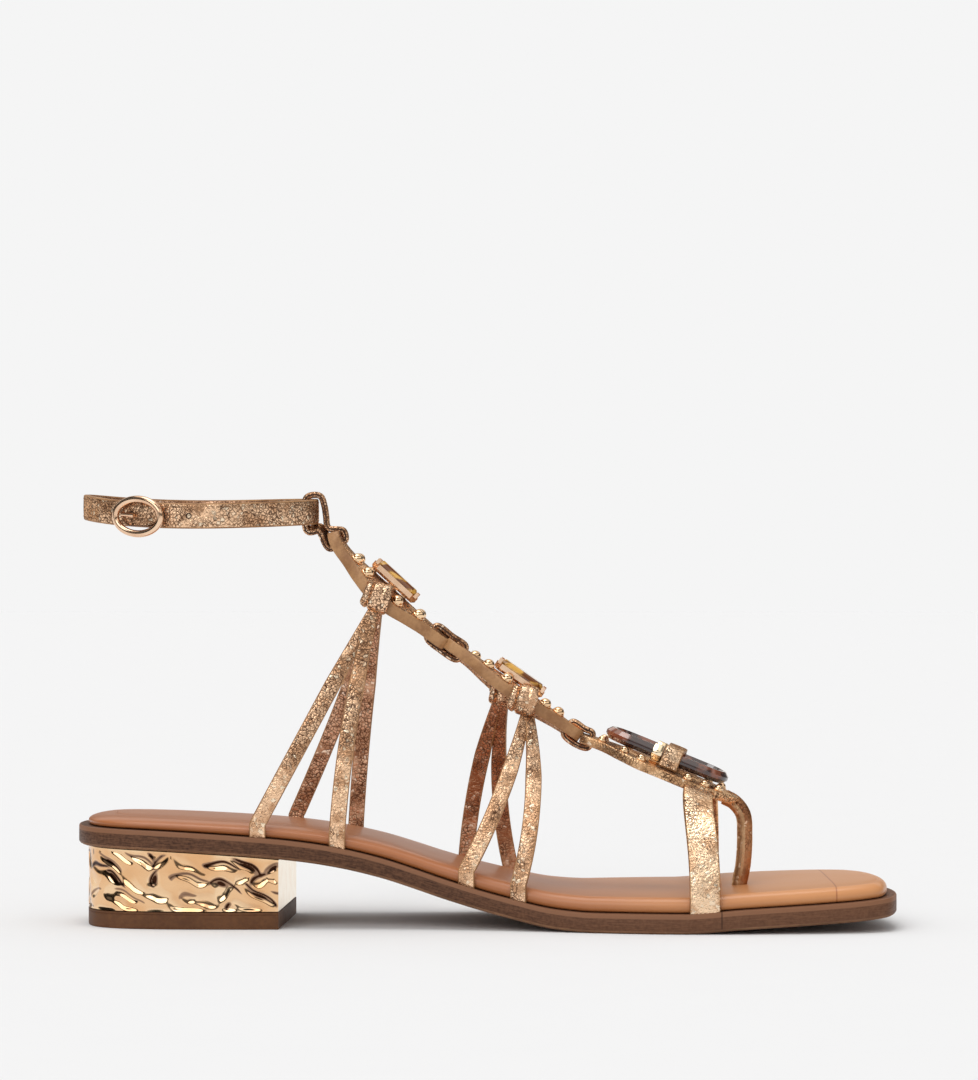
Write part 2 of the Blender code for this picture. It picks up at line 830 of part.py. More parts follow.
def knot(legs):
    """The loop of strap that wraps the plaque's edge, in line with the legs that hang from it."""
    plaque, side, share = legs[0].plaque, legs[0].foot.side, legs[0].knot
    level = np.array((0.0, 1.0, 0.0))
    rises = [unit((leg.top() - leg.foot.path()[0]) * (1 - level)) for leg in legs]
    up = unit(np.sum(rises, axis=0))
    length, wide, high = KNOT_SIZE
    reach, rise = (wide - KNOT_BAND) / 2, (high - KNOT_BAND) / 2
    centre = plaque.point(share, side * (plaque.half(share) - KNOT_INSET), KNOT_RISE)
    path = []
    for turn in np.linspace(0.0, 2 * math.pi, KNOT_STATIONS, endpoint=False):
        path.append(centre + level * reach * math.cos(turn) + up * rise * math.sin(turn))
    widths_on = [np.cross(level, up)] * len(path)
    return ribbon("knot", path, widths_on, length, KNOT_BAND, MATERIALS["gold_leather"], closed=True)


# Legs: plaque, side, foot along the sole, knot along the plaque, start along the plaque, bow
LEG_ROWS = (
    (ANKLE_PLAQUE, -1, 0.2250, 0.481, 1.9, 0.0),
    (ANKLE_PLAQUE, -1, 0.3210, 0.481, 1.9, -1.5),
    (ANKLE_PLAQUE, 1, 0.2615, 0.481, 1.7, 0.9),
    (ANKLE_PLAQUE, 1, 0.3370, 0.481, 1.9, -0.9),
    (INSTEP_PLAQUE, -1, 0.4775, 0.590, 3.3, 1.7),
    (INSTEP_PLAQUE, -1, 0.5400, 0.590, 4.8, 2.6),
    (INSTEP_PLAQUE, 1, 0.4760, 0.449, 0.3, -1.5),
    (INSTEP_PLAQUE, 1, 0.5320, 0.449, 2.4, -2.4),
)
LEGS = [
    Leg(plaque, Foot(side, along, LEG_WIDTH, LEG_THICKNESS), at, start, bow)
    for plaque, side, along, at, start, bow in LEG_ROWS
]
SIDE_FEET = [
    Foot(-1, 0.7625, SIDE_STRAP_WIDTH, SIDE_STRAP_THICKNESS),
    Foot(1, 0.7800, SIDE_STRAP_WIDTH, SIDE_STRAP_THICKNESS),
]
SIDE_STRAP_AT = 0.780  # where the wide straps leave the front plaque, as a share of its length


def make_strapped_plaque(plaque):
    """A plaque joined with its knots and its narrow straps."""
    body = plaque.build()
    pieces = []
    for side in (-1, 1):
        legs = [leg for leg in LEGS if leg.plaque is plaque and leg.foot.side == side]
        pieces += [*(leg.build() for leg in legs), knot(legs)]
    return combine(body, pieces, "UNION")


def side_strap():
    """The wide strap, in one run from one foot over the front of the foot to the other."""
    inner, outer = SIDE_FEET
    plaque = FRONT_PLAQUE
    along, _, _ = plaque.axes(SIDE_STRAP_AT)
    half = plaque.half(SIDE_STRAP_AT)
    runs, across = [], []
    for foot in (inner, outer):
        tail = foot.path()
        _, sole_along, _ = foot.frame()
        top = plaque.point(SIDE_STRAP_AT, foot.side * (half - 1.5), -0.2)
        turn = plaque.point(SIDE_STRAP_AT, foot.side * (half + 7.5), -0.2)
        shoulder = tail[0] + np.array((0.0, 0.0, 19.0))
        run = []
        for share in np.linspace(0.0, 1.0, LEG_STATIONS, endpoint=False):
            rest = 1.0 - share
            run.append(
                rest**3 * top
                + 3 * rest**2 * share * turn
                + 3 * rest * share**2 * shoulder
                + share**3 * tail[0]
            )
        directions = [
            unit(along * (1 - s) + sole_along * s) for s in np.linspace(0, 1, LEG_STATIONS, endpoint=False)
        ]
        runs.append([*run, *tail])
        across.append([*directions, *([sole_along] * len(tail))])
    bridge = [plaque.point(SIDE_STRAP_AT, half * share, -0.2) for share in (-0.4, 0.0, 0.4)]
    path = [*runs[0][::-1], *bridge, *runs[1]]
    widths_on = [*across[0][::-1], *([along] * len(bridge)), *across[1]]
    return ribbon(
        "side_strap", path, widths_on, SIDE_STRAP_WIDTH, SIDE_STRAP_THICKNESS, MATERIALS["gold_leather"]
    )


def post_path():
    """Centre line of the toe post, from inside the front plaque down into the insole."""
    top = FRONT_PLAQUE.point(0.93, 0.0, -0.6)
    nose = FRONT_PLAQUE.point(1.0, 0.0, -0.8)
    base_x = point_on_length(POST_AT)
    base = np.array((base_x, nose[1] - 0.6, footbed(base_x)))
    rise = nose[2] - base[2]
    knee = base + np.array((1.7, 0.2, 0.60 * rise))
    brow = base + np.array((1.2, 0.4, 0.86 * rise))
    shin = base + np.array((1.2, 0.0, 0.26 * rise))
    depth = insole_height(base_x) - FIT_GAP
    under = base - np.array((0.0, 0.0, depth))
    return smooth([top, nose, brow, knee, shin, base, under], 3)


def make_front_upper():
    """The front plaque joined with the wide straps and the toe post."""
    body = FRONT_PLAQUE.build()
    post = tube("post", post_path(), POST_DIAMETER, MATERIALS["gold_leather"])
    return combine(body, [side_strap(), post], "UNION")


def post_hole():
    """The cutter for the hole in the insole that takes the toe post."""
    base = post_path()[-4]
    bpy.ops.mesh.primitive_cylinder_add(
        vertices=16, radius=(POST_DIAMETER / 2 + FIT_GAP) * MM, depth=4 * INSOLE_THICKNESS * MM
    )
    made = bpy.context.object
    made.data.materials.append(MATERIALS["tan_leather"])
    made.location = Vector(base) * MM
    return bake(made)


# Links


def loop_through(name, points, twist=None):
    """A closed leather loop through points of the plane of the spine.

    A twist gives, for each point, how far the width leans out of the level, as a slope.
    """
    leans = [0.0] * len(points) if twist is None else twist
    rows = [(*point, lean * LINK_WIDTH) for point, lean in zip(points, leans)]
    path = spread(smooth(rows, OUTLINE_SAMPLES, closed=True), LOOP_STATIONS, closed=True)
    centres, leans = path[:, :3], path[:, 3] / LINK_WIDTH
    tangents = np.roll(centres, -1, axis=0) - np.roll(centres, 1, axis=0)
    level = np.array((0.0, 1.0, 0.0))
    across = [unit(level + unit(np.cross(t, level)) * lean) for t, lean in zip(tangents, leans)]
    return ribbon(name, centres, across, LINK_WIDTH, LINK_THICKNESS, MATERIALS["gold_leather"], closed=True)


def make_link(name, behind, ahead):
    """The loop through the slots of two neighbouring plaques."""
    lift = max(behind.thickness, ahead.thickness) / 2 + FIT_GAP + LINK_THICKNESS / 2 + LINK_SLACK
    back, back_axes = behind.slot(1)
    front, front_axes = ahead.slot(0)
    joint = (behind.middle(1.0) + ahead.middle(0.0)) / 2
    out = unit(back_axes[2] + front_axes[2])
    shoulder = 0.86 * lift
    inset = LINK_THICKNESS / 4
    points = [
        back,
        back + back_axes[2] * shoulder + back_axes[0] * inset,
        joint + out * lift,
        front + front_axes[2] * shoulder - front_axes[0] * inset,
        front,
        front - front_axes[2] * shoulder - front_axes[0] * inset,
        joint - out * lift,
        back - back_axes[2] * shoulder + back_axes[0] * inset,
    ]
    return loop_through(name, points)


def make_ankle_link():
    """The loop through the rear plaque's slot and round the front of the ankle strap."""
    slot, (along, _, out) = ANKLE_PLAQUE.slot(0)
    end, (_, _, end_out) = ANKLE_PLAQUE.middle(0.0), ANKLE_PLAQUE.axes(0.0)
    strap = strap_centre(0.0)
    clear = FIT_GAP + LINK_THICKNESS / 2 + LINK_SLACK
    up = np.array((0.0, 0.0, ANKLE_STRAP_WIDTH / 2 + clear))
    ahead = np.array((ANKLE_STRAP_THICKNESS / 2 + clear, 0.0, 0.0))
    lift = ANKLE_PLAQUE.thickness / 2 + clear
    points = [
        slot,
        slot + (out - along * 0.1) * lift * 1.2,
        end + end_out * lift * 1.4 - along * 0.4,
        strap + ahead * 1.85 - up,
        strap + ahead * 1.5 - up * 0.25,
        strap + ahead * 1.3 + up * 0.3,
        strap + ahead * 0.75 + up * 0.93,
        strap - ahead * 0.15 + up * 1.03,
        strap - ahead * 1.25 + up * 0.86,
        strap - ahead * 1.5 + up * 0.2,
        strap - ahead * 1.5 - up * 0.65,
        strap - ahead * 0.6 - up * 1.2,
        end - end_out * lift * 1.35 - along * 0.8,
        slot - (out + along * 0.05) * lift * 1.1,
    ]
    twist = [0.0] * (len(points) - 3) + [share * LINK_TWIST for share in (0.0, 1.0, 0.0)]
    return loop_through("link_ankle", points, twist)


# Ankle strap and buckle


def strap_centre(turn):
    """A point of the ankle strap's centre line; turn is 0 in front and grows past the outer side."""
    front = point_on_length(ANKLE_FRONT) - ANKLE_STRAP_THICKNESS / 2
    half_length = (ANKLE_LENGTH - ANKLE_STRAP_THICKNESS) / 2
    half_width = (ANKLE_WIDTH - ANKLE_STRAP_THICKNESS) / 2
    swing = math.sin(turn)
    x = front - half_length * (1 - math.cos(turn))
    y = half_width * swing * abs(swing) ** STRAP_SQUARENESS
    ends = (FRONT_RISE + BACK_RISE + (FRONT_RISE - BACK_RISE) * math.cos(turn)) / 2
    z = ANKLE_HEIGHT + OUTER_RISE * (1 + swing) / 2 + ends * math.cos(turn) ** 2
    return np.array((x, y, z))


def strap_frame(turn):
    """Centre, direction along, direction up and direction out of the ankle strap."""
    step = 0.01
    along = unit(strap_centre(turn + step) - strap_centre(turn - step))
    up = np.array((0.0, 0.0, 1.0))
    out = unit(np.cross(along, up))
    return strap_centre(turn), along, unit(np.cross(out, along)), out


BUCKLE_TURN = -math.acos(1 - 2 * BUCKLE_PLACE)


def make_ankle_strap():
    """The band round the ankle with the raised end that lies inside the buckle."""
    path = spread([strap_centre(t) for t in np.linspace(0, 2 * math.pi, 241)[:-1]], STRAP_STATIONS, True)
    across = [np.array((0.0, 0.0, 1.0))] * len(path)
    band = ribbon(
        "ankle_strap", path, across, ANKLE_STRAP_WIDTH, ANKLE_STRAP_THICKNESS, MATERIALS["gold_leather"], True
    )
    centre, along, up, out = strap_frame(BUCKLE_TURN)
    lap = 0.8
    outline = []
    half_height = ANKLE_STRAP_WIDTH / 2 - STRAP_END_INSET
    straight = STRAP_END_LENGTH / 2 - half_height
    for angle in np.linspace(-math.pi / 2, math.pi / 2, 9):
        outline.append((straight + half_height * math.cos(angle), half_height * math.sin(angle)))
    outline += [(-x, -y) for x, y in outline]
    vertices = []
    for level in (-lap, STRAP_END_THICKNESS):
        base = centre + out * (ANKLE_STRAP_THICKNESS / 2 + level)
        vertices += [base + along * x + up * y for x, y in outline]
    count = len(outline)
    faces = [(k, (k + 1) % count, count + (k + 1) % count, count + k) for k in range(count)]
    faces += [tuple(range(count)), tuple(range(count, 2 * count))]
    end = add_object("strap_end", vertices, faces, MATERIALS["gold_leather"])
    return combine(band, [end], "UNION")


def make_buckle():
    """The oval wire frame and its prong."""
    centre, along, up, out = strap_frame(BUCKLE_TURN)
    seat = centre + out * (ANKLE_STRAP_THICKNESS / 2 + FIT_GAP + BUCKLE_WIRE / 2 + BUCKLE_LIFT)
    seat -= up * BUCKLE_DROP
    half_length = (BUCKLE_LENGTH - BUCKLE_WIRE) / 2
    half_height = (BUCKLE_HEIGHT - BUCKLE_WIRE) / 2
    ring = []
    for turn in np.linspace(0, 2 * math.pi, 29)[:-1]:
        ring.append(seat + along * half_length * math.cos(turn) + up * half_height * math.sin(turn))
    tube("buckle_frame", ring, BUCKLE_WIRE, MATERIALS["gold_plate"], closed=True)
    prong_seat = centre - up * BUCKLE_DROP / 2
    prong_seat += out * (ANKLE_STRAP_THICKNESS / 2 + STRAP_END_THICKNESS + FIT_GAP + PRONG_DIAMETER / 2)
    reach = half_length - BUCKLE_WIRE / 2 - FIT_GAP - 0.6
    path = [prong_seat - along * reach, prong_seat - along * (reach - 2.2), prong_seat - along * (reach - 4.4)]
    tube("buckle_prong", path, PRONG_DIAMETER, MATERIALS["gold_plate"])


# Ornaments on the plaques


def cut_corner(length, width, corner):
    """An oblong with its four corners cut off."""
    half_length, half_width = length / 2, width / 2
    outline = []
    for x_sign, y_sign in ((1, 1), (-1, 1), (-1, -1), (1, -1)):
        pair = [(half_length - corner, half_width), (half_length, half_width - corner)]
        if x_sign * y_sign > 0:
            pair.reverse()
        outline += [(x_sign * x, y_sign * y) for x, y in pair]
    return outline


def stacked(name, rings, place, axes, material):
    """A solid through outlines stacked along the third axis; a ring is an outline and a height."""
    along, across, out = axes
    vertices, faces = [], []
    count = len(rings[0][0])
    for outline, height in rings:
        vertices += [place + along * x + across * y + out * height for x, y in outline]
    for k in range(len(rings) - 1):
        for j in range(count):
            nxt = (j + 1) % count
            faces.append((k * count + j, k * count + nxt, (k + 1) * count + nxt, (k + 1) * count + j))
    faces += [tuple(range(count)), tuple(range((len(rings) - 1) * count, len(rings) * count))]
    return add_object(name, vertices, faces, material, sharp=15.0)


def make_crystal(tag, plaque, share):
    """A step-cut stone in a metal tray with four claws."""
    axes = plaque.axes(share)
    place = plaque.point(share, 0.0, plaque.thickness / 2 + FIT_GAP + 0.25)
    out = axes[2]
    floor = SETTING_FLOOR
    gap = FIT_GAP
    corner = 1.6
    outer_length = CRYSTAL_LENGTH + 2 * (gap + SETTING_WALL)
    outer_width = CRYSTAL_WIDTH + 2 * (gap + SETTING_WALL)
    rim = floor + gap + 0.45 * CRYSTAL_HEIGHT
    tray = [
        (cut_corner(outer_length - 1.6, outer_width - 1.6, corner), 0.0),
        (cut_corner(outer_length, outer_width, corner + 0.4), 0.8),
        (cut_corner(outer_length, outer_width, corner + 0.4), rim),
        (cut_corner(CRYSTAL_LENGTH + 2 * gap, CRYSTAL_WIDTH + 2 * gap, corner), rim),
        (cut_corner(CRYSTAL_LENGTH + 2 * gap, CRYSTAL_WIDTH + 2 * gap, corner), floor),
    ]
    setting = stacked(f"setting_{tag}", tray, place, axes, MATERIALS["gold_plate"])
    claws = []
    for x_sign in (-1, 1):
        for y_sign in (-1, 1):
            centre = (
                place
                + axes[0] * x_sign * (outer_length / 2 - 0.95)
                + axes[1] * y_sign * (outer_width / 2 - 0.95)
                + out * (rim + 0.45)
            )
            claws.append(block("claw", centre, axes, (CLAW_WIDTH, CLAW_WIDTH, CLAW_HEIGHT)))
    combine(setting, claws, "UNION")
    steps = (
        (0.0, -1.0, 0.55),
        (0.45, 0.0, 1.0),
        (0.60, 0.0, 1.0),
        (0.82, -0.9, 1.0),
        (1.0, -2.0, 1.0),
    )
    rings = []
    for height, grow, share_of_size in steps:
        size = (CRYSTAL_LENGTH * (0.8 + 0.2 * share_of_size), CRYSTAL_WIDTH * (0.6 + 0.4 * share_of_size))
        outline = cut_corner(size[0] + grow, size[1] + grow, corner + 0.15)
        rings.append((outline, floor + gap + height * CRYSTAL_HEIGHT))
    stacked(f"crystal_{tag}", rings, place, axes, MATERIALS["amber_glass"])


def ring_frame():
    """Middle of the ring and the axes that it lies in."""
    plaque = FRONT_PLAQUE
    bar_reach = (RING_WIDTH - RING_BAR) / 2
    surface = plaque.thickness / 2 - plaque.fall * (bar_reach / plaque.half_width) ** 2
    lift = surface + 2 * FIT_GAP + CUFF_THICKNESS + RING_BAR / 2
    return plaque.point(RING_AT, 0.0, lift), plaque.axes(RING_AT)


def make_ring():
    """The oblong ring, with the cuffs on its bars."""
    centre, (along, across, _) = ring_frame()
    bar_reach = (RING_WIDTH - RING_BAR) / 2
    straight = (RING_LENGTH - RING_WIDTH) / 2
    path = []
    for end in (1, -1):
        for angle in np.linspace(-math.pi / 2, math.pi / 2, 9):
            x = end * (straight + bar_reach * math.cos(angle))
            path.append(centre + along * x + across * end * bar_reach * math.sin(angle))
    tube("tortoise_ring", path, RING_BAR, MATERIALS["tortoiseshell"], closed=True)
    inner = RING_BAR / 2 + FIT_GAP
    outer = inner + CUFF_THICKNESS
    half = CUFF_LENGTH / 2
    for tag, side in (("inner", -1), ("outer", 1)):
        profile = [(inner, half), (outer, half), (outer, -half), (inner, -half), (inner, half)]
        cuff = turned(f"cuff_{tag}", profile, MATERIALS["gold_plate"], steps=14)
        behind_wrap = WRAP_WIDTH / 2 + FIT_GAP + half - WRAP_SHIFT
        place = centre + across * side * bar_reach - along * behind_wrap
        turn = Vector((0.0, 0.0, 1.0)).rotation_difference(Vector(along)).to_matrix().to_4x4()
        cuff.matrix_world = Matrix.Translation(Vector(place) * MM) @ turn


def make_ring_wrap():
    """The leather band that holds the ring down, over both bars."""
    plaque = FRONT_PLAQUE
    centre, (along, across, out) = ring_frame()
    centre = centre + along * WRAP_SHIFT
    wrap_at = RING_AT + WRAP_SHIFT / plaque.length()
    bar_reach = (RING_WIDTH - RING_BAR) / 2
    reach = RING_BAR / 2 + FIT_GAP + WRAP_THICKNESS / 2 + 0.15
    foot_across = bar_reach + reach + 0.9
    half = []
    foot_lift = plaque.thickness / 2 + FIT_GAP + WRAP_THICKNESS / 2 + 0.1
    half.append(plaque.point(wrap_at, -foot_across - 0.4, foot_lift))
    for angle in np.radians((195.0, 150.0, 115.0, 85.0)):
        half.append(
            centre - across * bar_reach + across * reach * math.cos(angle) + out * reach * math.sin(angle)
        )
    path = [*half]
    path.append(centre + out * (reach - 0.5))
    for place in half[::-1]:
        offset = place - centre
        path.append(place - 2 * across * float(np.dot(offset, across)))
    return ribbon("ring_wrap", path, [along] * len(path), WRAP_WIDTH, WRAP_THICKNESS, MATERIALS["gold_leather"])


# Studs: plaque, diameter, places along the inner edge, places along the outer edge
STUD_ROWS = (
    (ANKLE_PLAQUE, STUD_DIAMETER, (0.225, 0.336, 0.594, 0.755), (0.225, 0.336, 0.594, 0.755)),
    (INSTEP_PLAQUE, STUD_DIAMETER, (0.292, 0.435, 0.715, 0.809), (0.185, 0.288, 0.565, 0.710)),
    (
        FRONT_PLAQUE,
        SMALL_STUD_DIAMETER,
        (0.125, 0.276, 0.388, 0.689, 0.796, 0.882),
        (0.125, 0.276, 0.388, 0.689, 0.796, 0.882),
    ),
)


def make_studs():
    """Domed studs along both edges of each plaque."""
    for plaque, diameter, inner_places, outer_places in STUD_ROWS:
        radius = diameter / 2
        dome = [(0.0, 0.95 * radius), (0.5 * radius, 0.82 * radius), (0.87 * radius, 0.46 * radius)]
        profile = [*dome, (radius, 0.0), (0.0, 0.0)]
        first = turned(f"stud_{plaque.name}", profile, MATERIALS["gold_plate"], steps=8)
        shared = first.data
        bpy.data.objects.remove(first)
        for tag, side, places in (("inner", -1, inner_places), ("outer", 1, outer_places)):
            for number, share in enumerate(places, start=1):
                along, _, _ = plaque.axes(share)
                across = side * (plaque.half(share) - STUD_INSET - radius)
                place = plaque.point(share, across, plaque.thickness / 2 + FIT_GAP)
                step = 0.5
                slope = plaque.point(share, across + step) - plaque.point(share, across - step)
                out = unit(np.cross(along, slope))
                turn = Vector((0.0, 0.0, 1.0)).rotation_difference(Vector(out)).to_matrix().to_4x4()
                word = plaque.name.split("_")[0]
                stud = bpy.data.objects.new(f"stud_{word}_{tag}_{number}", shared)
                SANDAL.objects.link(stud)
                stud.matrix_world = Matrix.Translation(Vector(place) * MM) @ turn


# Materials and assembly: name, base colour, metallic, roughness
FINISHES = (
    ("brown_leather", (0.16, 0.075, 0.045), 0.0, 0.6),
    ("tan_leather", (0.56, 0.27, 0.13), 0.0, 0.35),
    ("gold_plate", (0.86, 0.60, 0.28), 1.0, 0.12),
    ("brown_rubber", (0.13, 0.06, 0.03), 0.0, 0.55),
    ("gold_leather", (0.66, 0.48, 0.31), 0.8, 0.35),
    ("amber_glass", (0.80, 0.45, 0.08), 0.0, 0.05),
    ("tortoiseshell", (0.10, 0.035, 0.03), 0.0, 0.1),
)


def make_materials():
    """One Principled material for each finish."""
    made = {}
    for name, colour, metallic, roughness in FINISHES:
        material = bpy.data.materials.new(name)
        material.use_nodes = True
        shader = material.node_tree.nodes["Principled BSDF"]
        shader.inputs["Base Color"].default_value = (*colour, 1.0)
        shader.inputs["Metallic"].default_value = metallic
        shader.inputs["Roughness"].default_value = roughness
        material.diffuse_color = (*colour, 1.0)
        made[name] = material
    return made


for existing in list(bpy.data.objects):
    bpy.data.objects.remove(existing)
SANDAL = bpy.data.collections.new("gladiator_sandal")
bpy.context.scene.collection.children.link(SANDAL)
bpy.context.view_layer.active_layer_collection = bpy.context.view_layer.layer_collection.children[SANDAL.name]
MATERIALS = make_materials()

sole_board = make_outsole()
combine(sole_board, [leg.foot.pocket() for leg in LEGS] + [foot.pocket() for foot in SIDE_FEET], "DIFFERENCE")
combine(make_insole(), [post_hole()], "DIFFERENCE")
make_heel()
make_strapped_plaque(ANKLE_PLAQUE)
make_strapped_plaque(INSTEP_PLAQUE)
make_front_upper()
make_link("link_instep", ANKLE_PLAQUE, INSTEP_PLAQUE)
make_link("link_forefoot", INSTEP_PLAQUE, FRONT_PLAQUE)
make_ankle_link()
make_ankle_strap()
make_buckle()
make_crystal("ankle", ANKLE_PLAQUE, 0.495)
make_crystal("instep", INSTEP_PLAQUE, 0.493)
make_ring()
make_ring_wrap()
make_studs()
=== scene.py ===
"""Gladiator sandal, left foot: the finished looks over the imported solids.

Every size is in millimetres and becomes metres when a mesh is made. +X points to the toe, -Y to the
inner side of the foot and +Z up. The sandal stands on the floor, empty, as in the photograph.
"""

import functools
import json
import logging
import math
from dataclasses import dataclass
from enum import Enum
from typing import Callable, Optional, Sequence, Union

import bmesh
import bpy
import numpy as np
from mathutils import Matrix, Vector

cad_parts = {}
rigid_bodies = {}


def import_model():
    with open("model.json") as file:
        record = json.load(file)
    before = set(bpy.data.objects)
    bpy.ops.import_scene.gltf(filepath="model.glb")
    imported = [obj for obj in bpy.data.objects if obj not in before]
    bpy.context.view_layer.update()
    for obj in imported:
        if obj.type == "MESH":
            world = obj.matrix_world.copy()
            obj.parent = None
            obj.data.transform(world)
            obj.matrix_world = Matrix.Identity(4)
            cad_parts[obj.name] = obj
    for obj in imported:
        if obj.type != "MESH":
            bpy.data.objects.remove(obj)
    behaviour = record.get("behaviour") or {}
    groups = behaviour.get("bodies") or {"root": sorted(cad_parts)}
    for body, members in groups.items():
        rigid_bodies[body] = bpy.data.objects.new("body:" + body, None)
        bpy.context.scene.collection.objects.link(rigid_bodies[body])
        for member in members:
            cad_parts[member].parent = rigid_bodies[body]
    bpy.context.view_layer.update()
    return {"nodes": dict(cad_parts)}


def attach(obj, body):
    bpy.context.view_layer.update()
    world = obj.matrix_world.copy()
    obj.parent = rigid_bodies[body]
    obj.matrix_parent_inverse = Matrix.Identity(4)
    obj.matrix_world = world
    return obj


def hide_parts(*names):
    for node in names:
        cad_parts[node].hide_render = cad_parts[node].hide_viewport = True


LOG = logging.getLogger("sandal")
MM = 0.001
BODY = "root"
UP = np.array((0.0, 0.0, 1.0))

Colour = tuple[float, float, float]
Table = tuple[tuple[float, ...], ...]
Number = Union[float, bpy.types.NodeSocket]


class Slot(Enum):
    """The record's material slots."""

    BROWN_LEATHER = "brown_leather"
    TAN_LEATHER = "tan_leather"
    GOLD_PLATE = "gold_plate"
    BROWN_RUBBER = "brown_rubber"
    GOLD_LEATHER = "gold_leather"
    AMBER_GLASS = "amber_glass"
    TORTOISESHELL = "tortoiseshell"


class Side(Enum):
    """The two sides of the foot, as signs of Y."""

    INNER = -1
    OUTER = 1


class Band(Enum):
    """Which of a strap's finishes a face takes."""

    FACE = 0
    EDGE = 1
    BACK = 2


# Curves


def unit(vector: np.ndarray) -> np.ndarray:
    """The vector at length one."""
    return vector / np.linalg.norm(vector)


def turns(count: int) -> np.ndarray:
    """Evenly spaced angles once round."""
    return np.linspace(0.0, 2 * math.pi, count, endpoint=False)


def smooth(points: Sequence, spans: int, closed: bool = False) -> np.ndarray:
    """Points along a centripetal Catmull-Rom curve.

    Args:
        points: the places that the curve passes through.
        spans: how many steps it takes between two of them.
        closed: whether the curve runs back to its start.

    Returns:
        The points as rows.
    """
    rows = [np.array(p, float) for p in points]
    if closed:
        around = [rows[-1], *rows, rows[0], rows[1]]
    else:
        around = [2 * rows[0] - rows[1], *rows, 2 * rows[-1] - rows[-2]]
    curve = []
    for p0, p1, p2, p3 in zip(around, around[1:], around[2:], around[3:]):
        t1 = math.sqrt(np.linalg.norm(p1 - p0))
        t2 = t1 + math.sqrt(np.linalg.norm(p2 - p1))
        t3 = t2 + math.sqrt(np.linalg.norm(p3 - p2))
        for t in np.linspace(t1, t2, spans, endpoint=False):
            a1 = ((t1 - t) * p0 + t * p1) / t1
            a2 = ((t2 - t) * p1 + (t - t1) * p2) / (t2 - t1)
            a3 = ((t3 - t) * p2 + (t - t2) * p3) / (t3 - t2)
            b1 = ((t2 - t) * a1 + t * a2) / t2
            b2 = ((t3 - t) * a2 + (t - t1) * a3) / (t3 - t1)
            curve.append(((t2 - t) * b1 + (t - t1) * b2) / (t2 - t1))
    return np.array(curve if closed else [*curve, rows[-1]])


def run_lengths(path: np.ndarray) -> np.ndarray:
    """Distance along the path at each of its points."""
    steps = np.linalg.norm(np.diff(path, axis=0), axis=1)
    return np.concatenate([[0.0], np.cumsum(steps)])


def spread(path: Sequence, count: int, closed: bool = False) -> np.ndarray:
    """The path as points at equal distances along it.

    Args:
        path: the points of the path.
        count: how many steps the new path has.
        closed: whether the path runs back to its start.

    Returns:
        count + 1 points, or count of them on a closed path.
    """
    run = np.array([*path, path[0]]) if closed else np.array(path)
    far = run_lengths(run)
    places = np.linspace(0.0, far[-1], count + 1)
    even = np.stack([np.interp(places, far, run[:, k]) for k in range(run.shape[1])], axis=1)
    return even[:-1] if closed else even


def steady(rows: Table, column: int) -> Callable[[float], float]:
    """A curve through table rows that never overshoots between two of them.

    Args:
        rows: the table, with its places in the first column.
        column: the column that the curve follows.

    Returns:
        The curve as a function of the place.
    """
    xs = np.array([row[0] for row in rows])
    ys = np.array([row[column] for row in rows])
    slopes = np.diff(ys) / np.diff(xs)
    ends = [slopes[0]]
    for before, after in zip(slopes, slopes[1:]):
        ends.append(2 * before * after / (before + after) if before * after > 0 else 0.0)
    ends.append(slopes[-1])

    def value(x: float) -> float:
        """The curve's height at a place."""
        k = int(np.clip(np.searchsorted(xs, x) - 1, 0, len(slopes) - 1))
        width = xs[k + 1] - xs[k]
        u = float(np.clip((x - xs[k]) / width, 0.0, 1.0))
        rest = 1.0 - u
        level = ys[k] * (1 + 2 * u) * rest**2 + ys[k + 1] * u**2 * (3 - 2 * u)
        return level + width * (ends[k] * u * rest**2 - ends[k + 1] * u**2 * rest)

    return value


def ease(value: np.ndarray) -> np.ndarray:
    """Smooth step from 0 to 1, held flat outside."""
    kept = np.clip(value, 0.0, 1.0)
    return kept * kept * (3.0 - 2.0 * kept)


# Meshes


def metres(points: Sequence) -> list[tuple[float, ...]]:
    """Points in metres, as a mesh takes them."""
    return [tuple(float(c) * MM for c in point) for point in points]


def stand(name: str, data: object) -> bpy.types.Object:
    """A new object in the scene."""
    made = bpy.data.objects.new(name, data)
    bpy.context.scene.collection.objects.link(made)
    return made


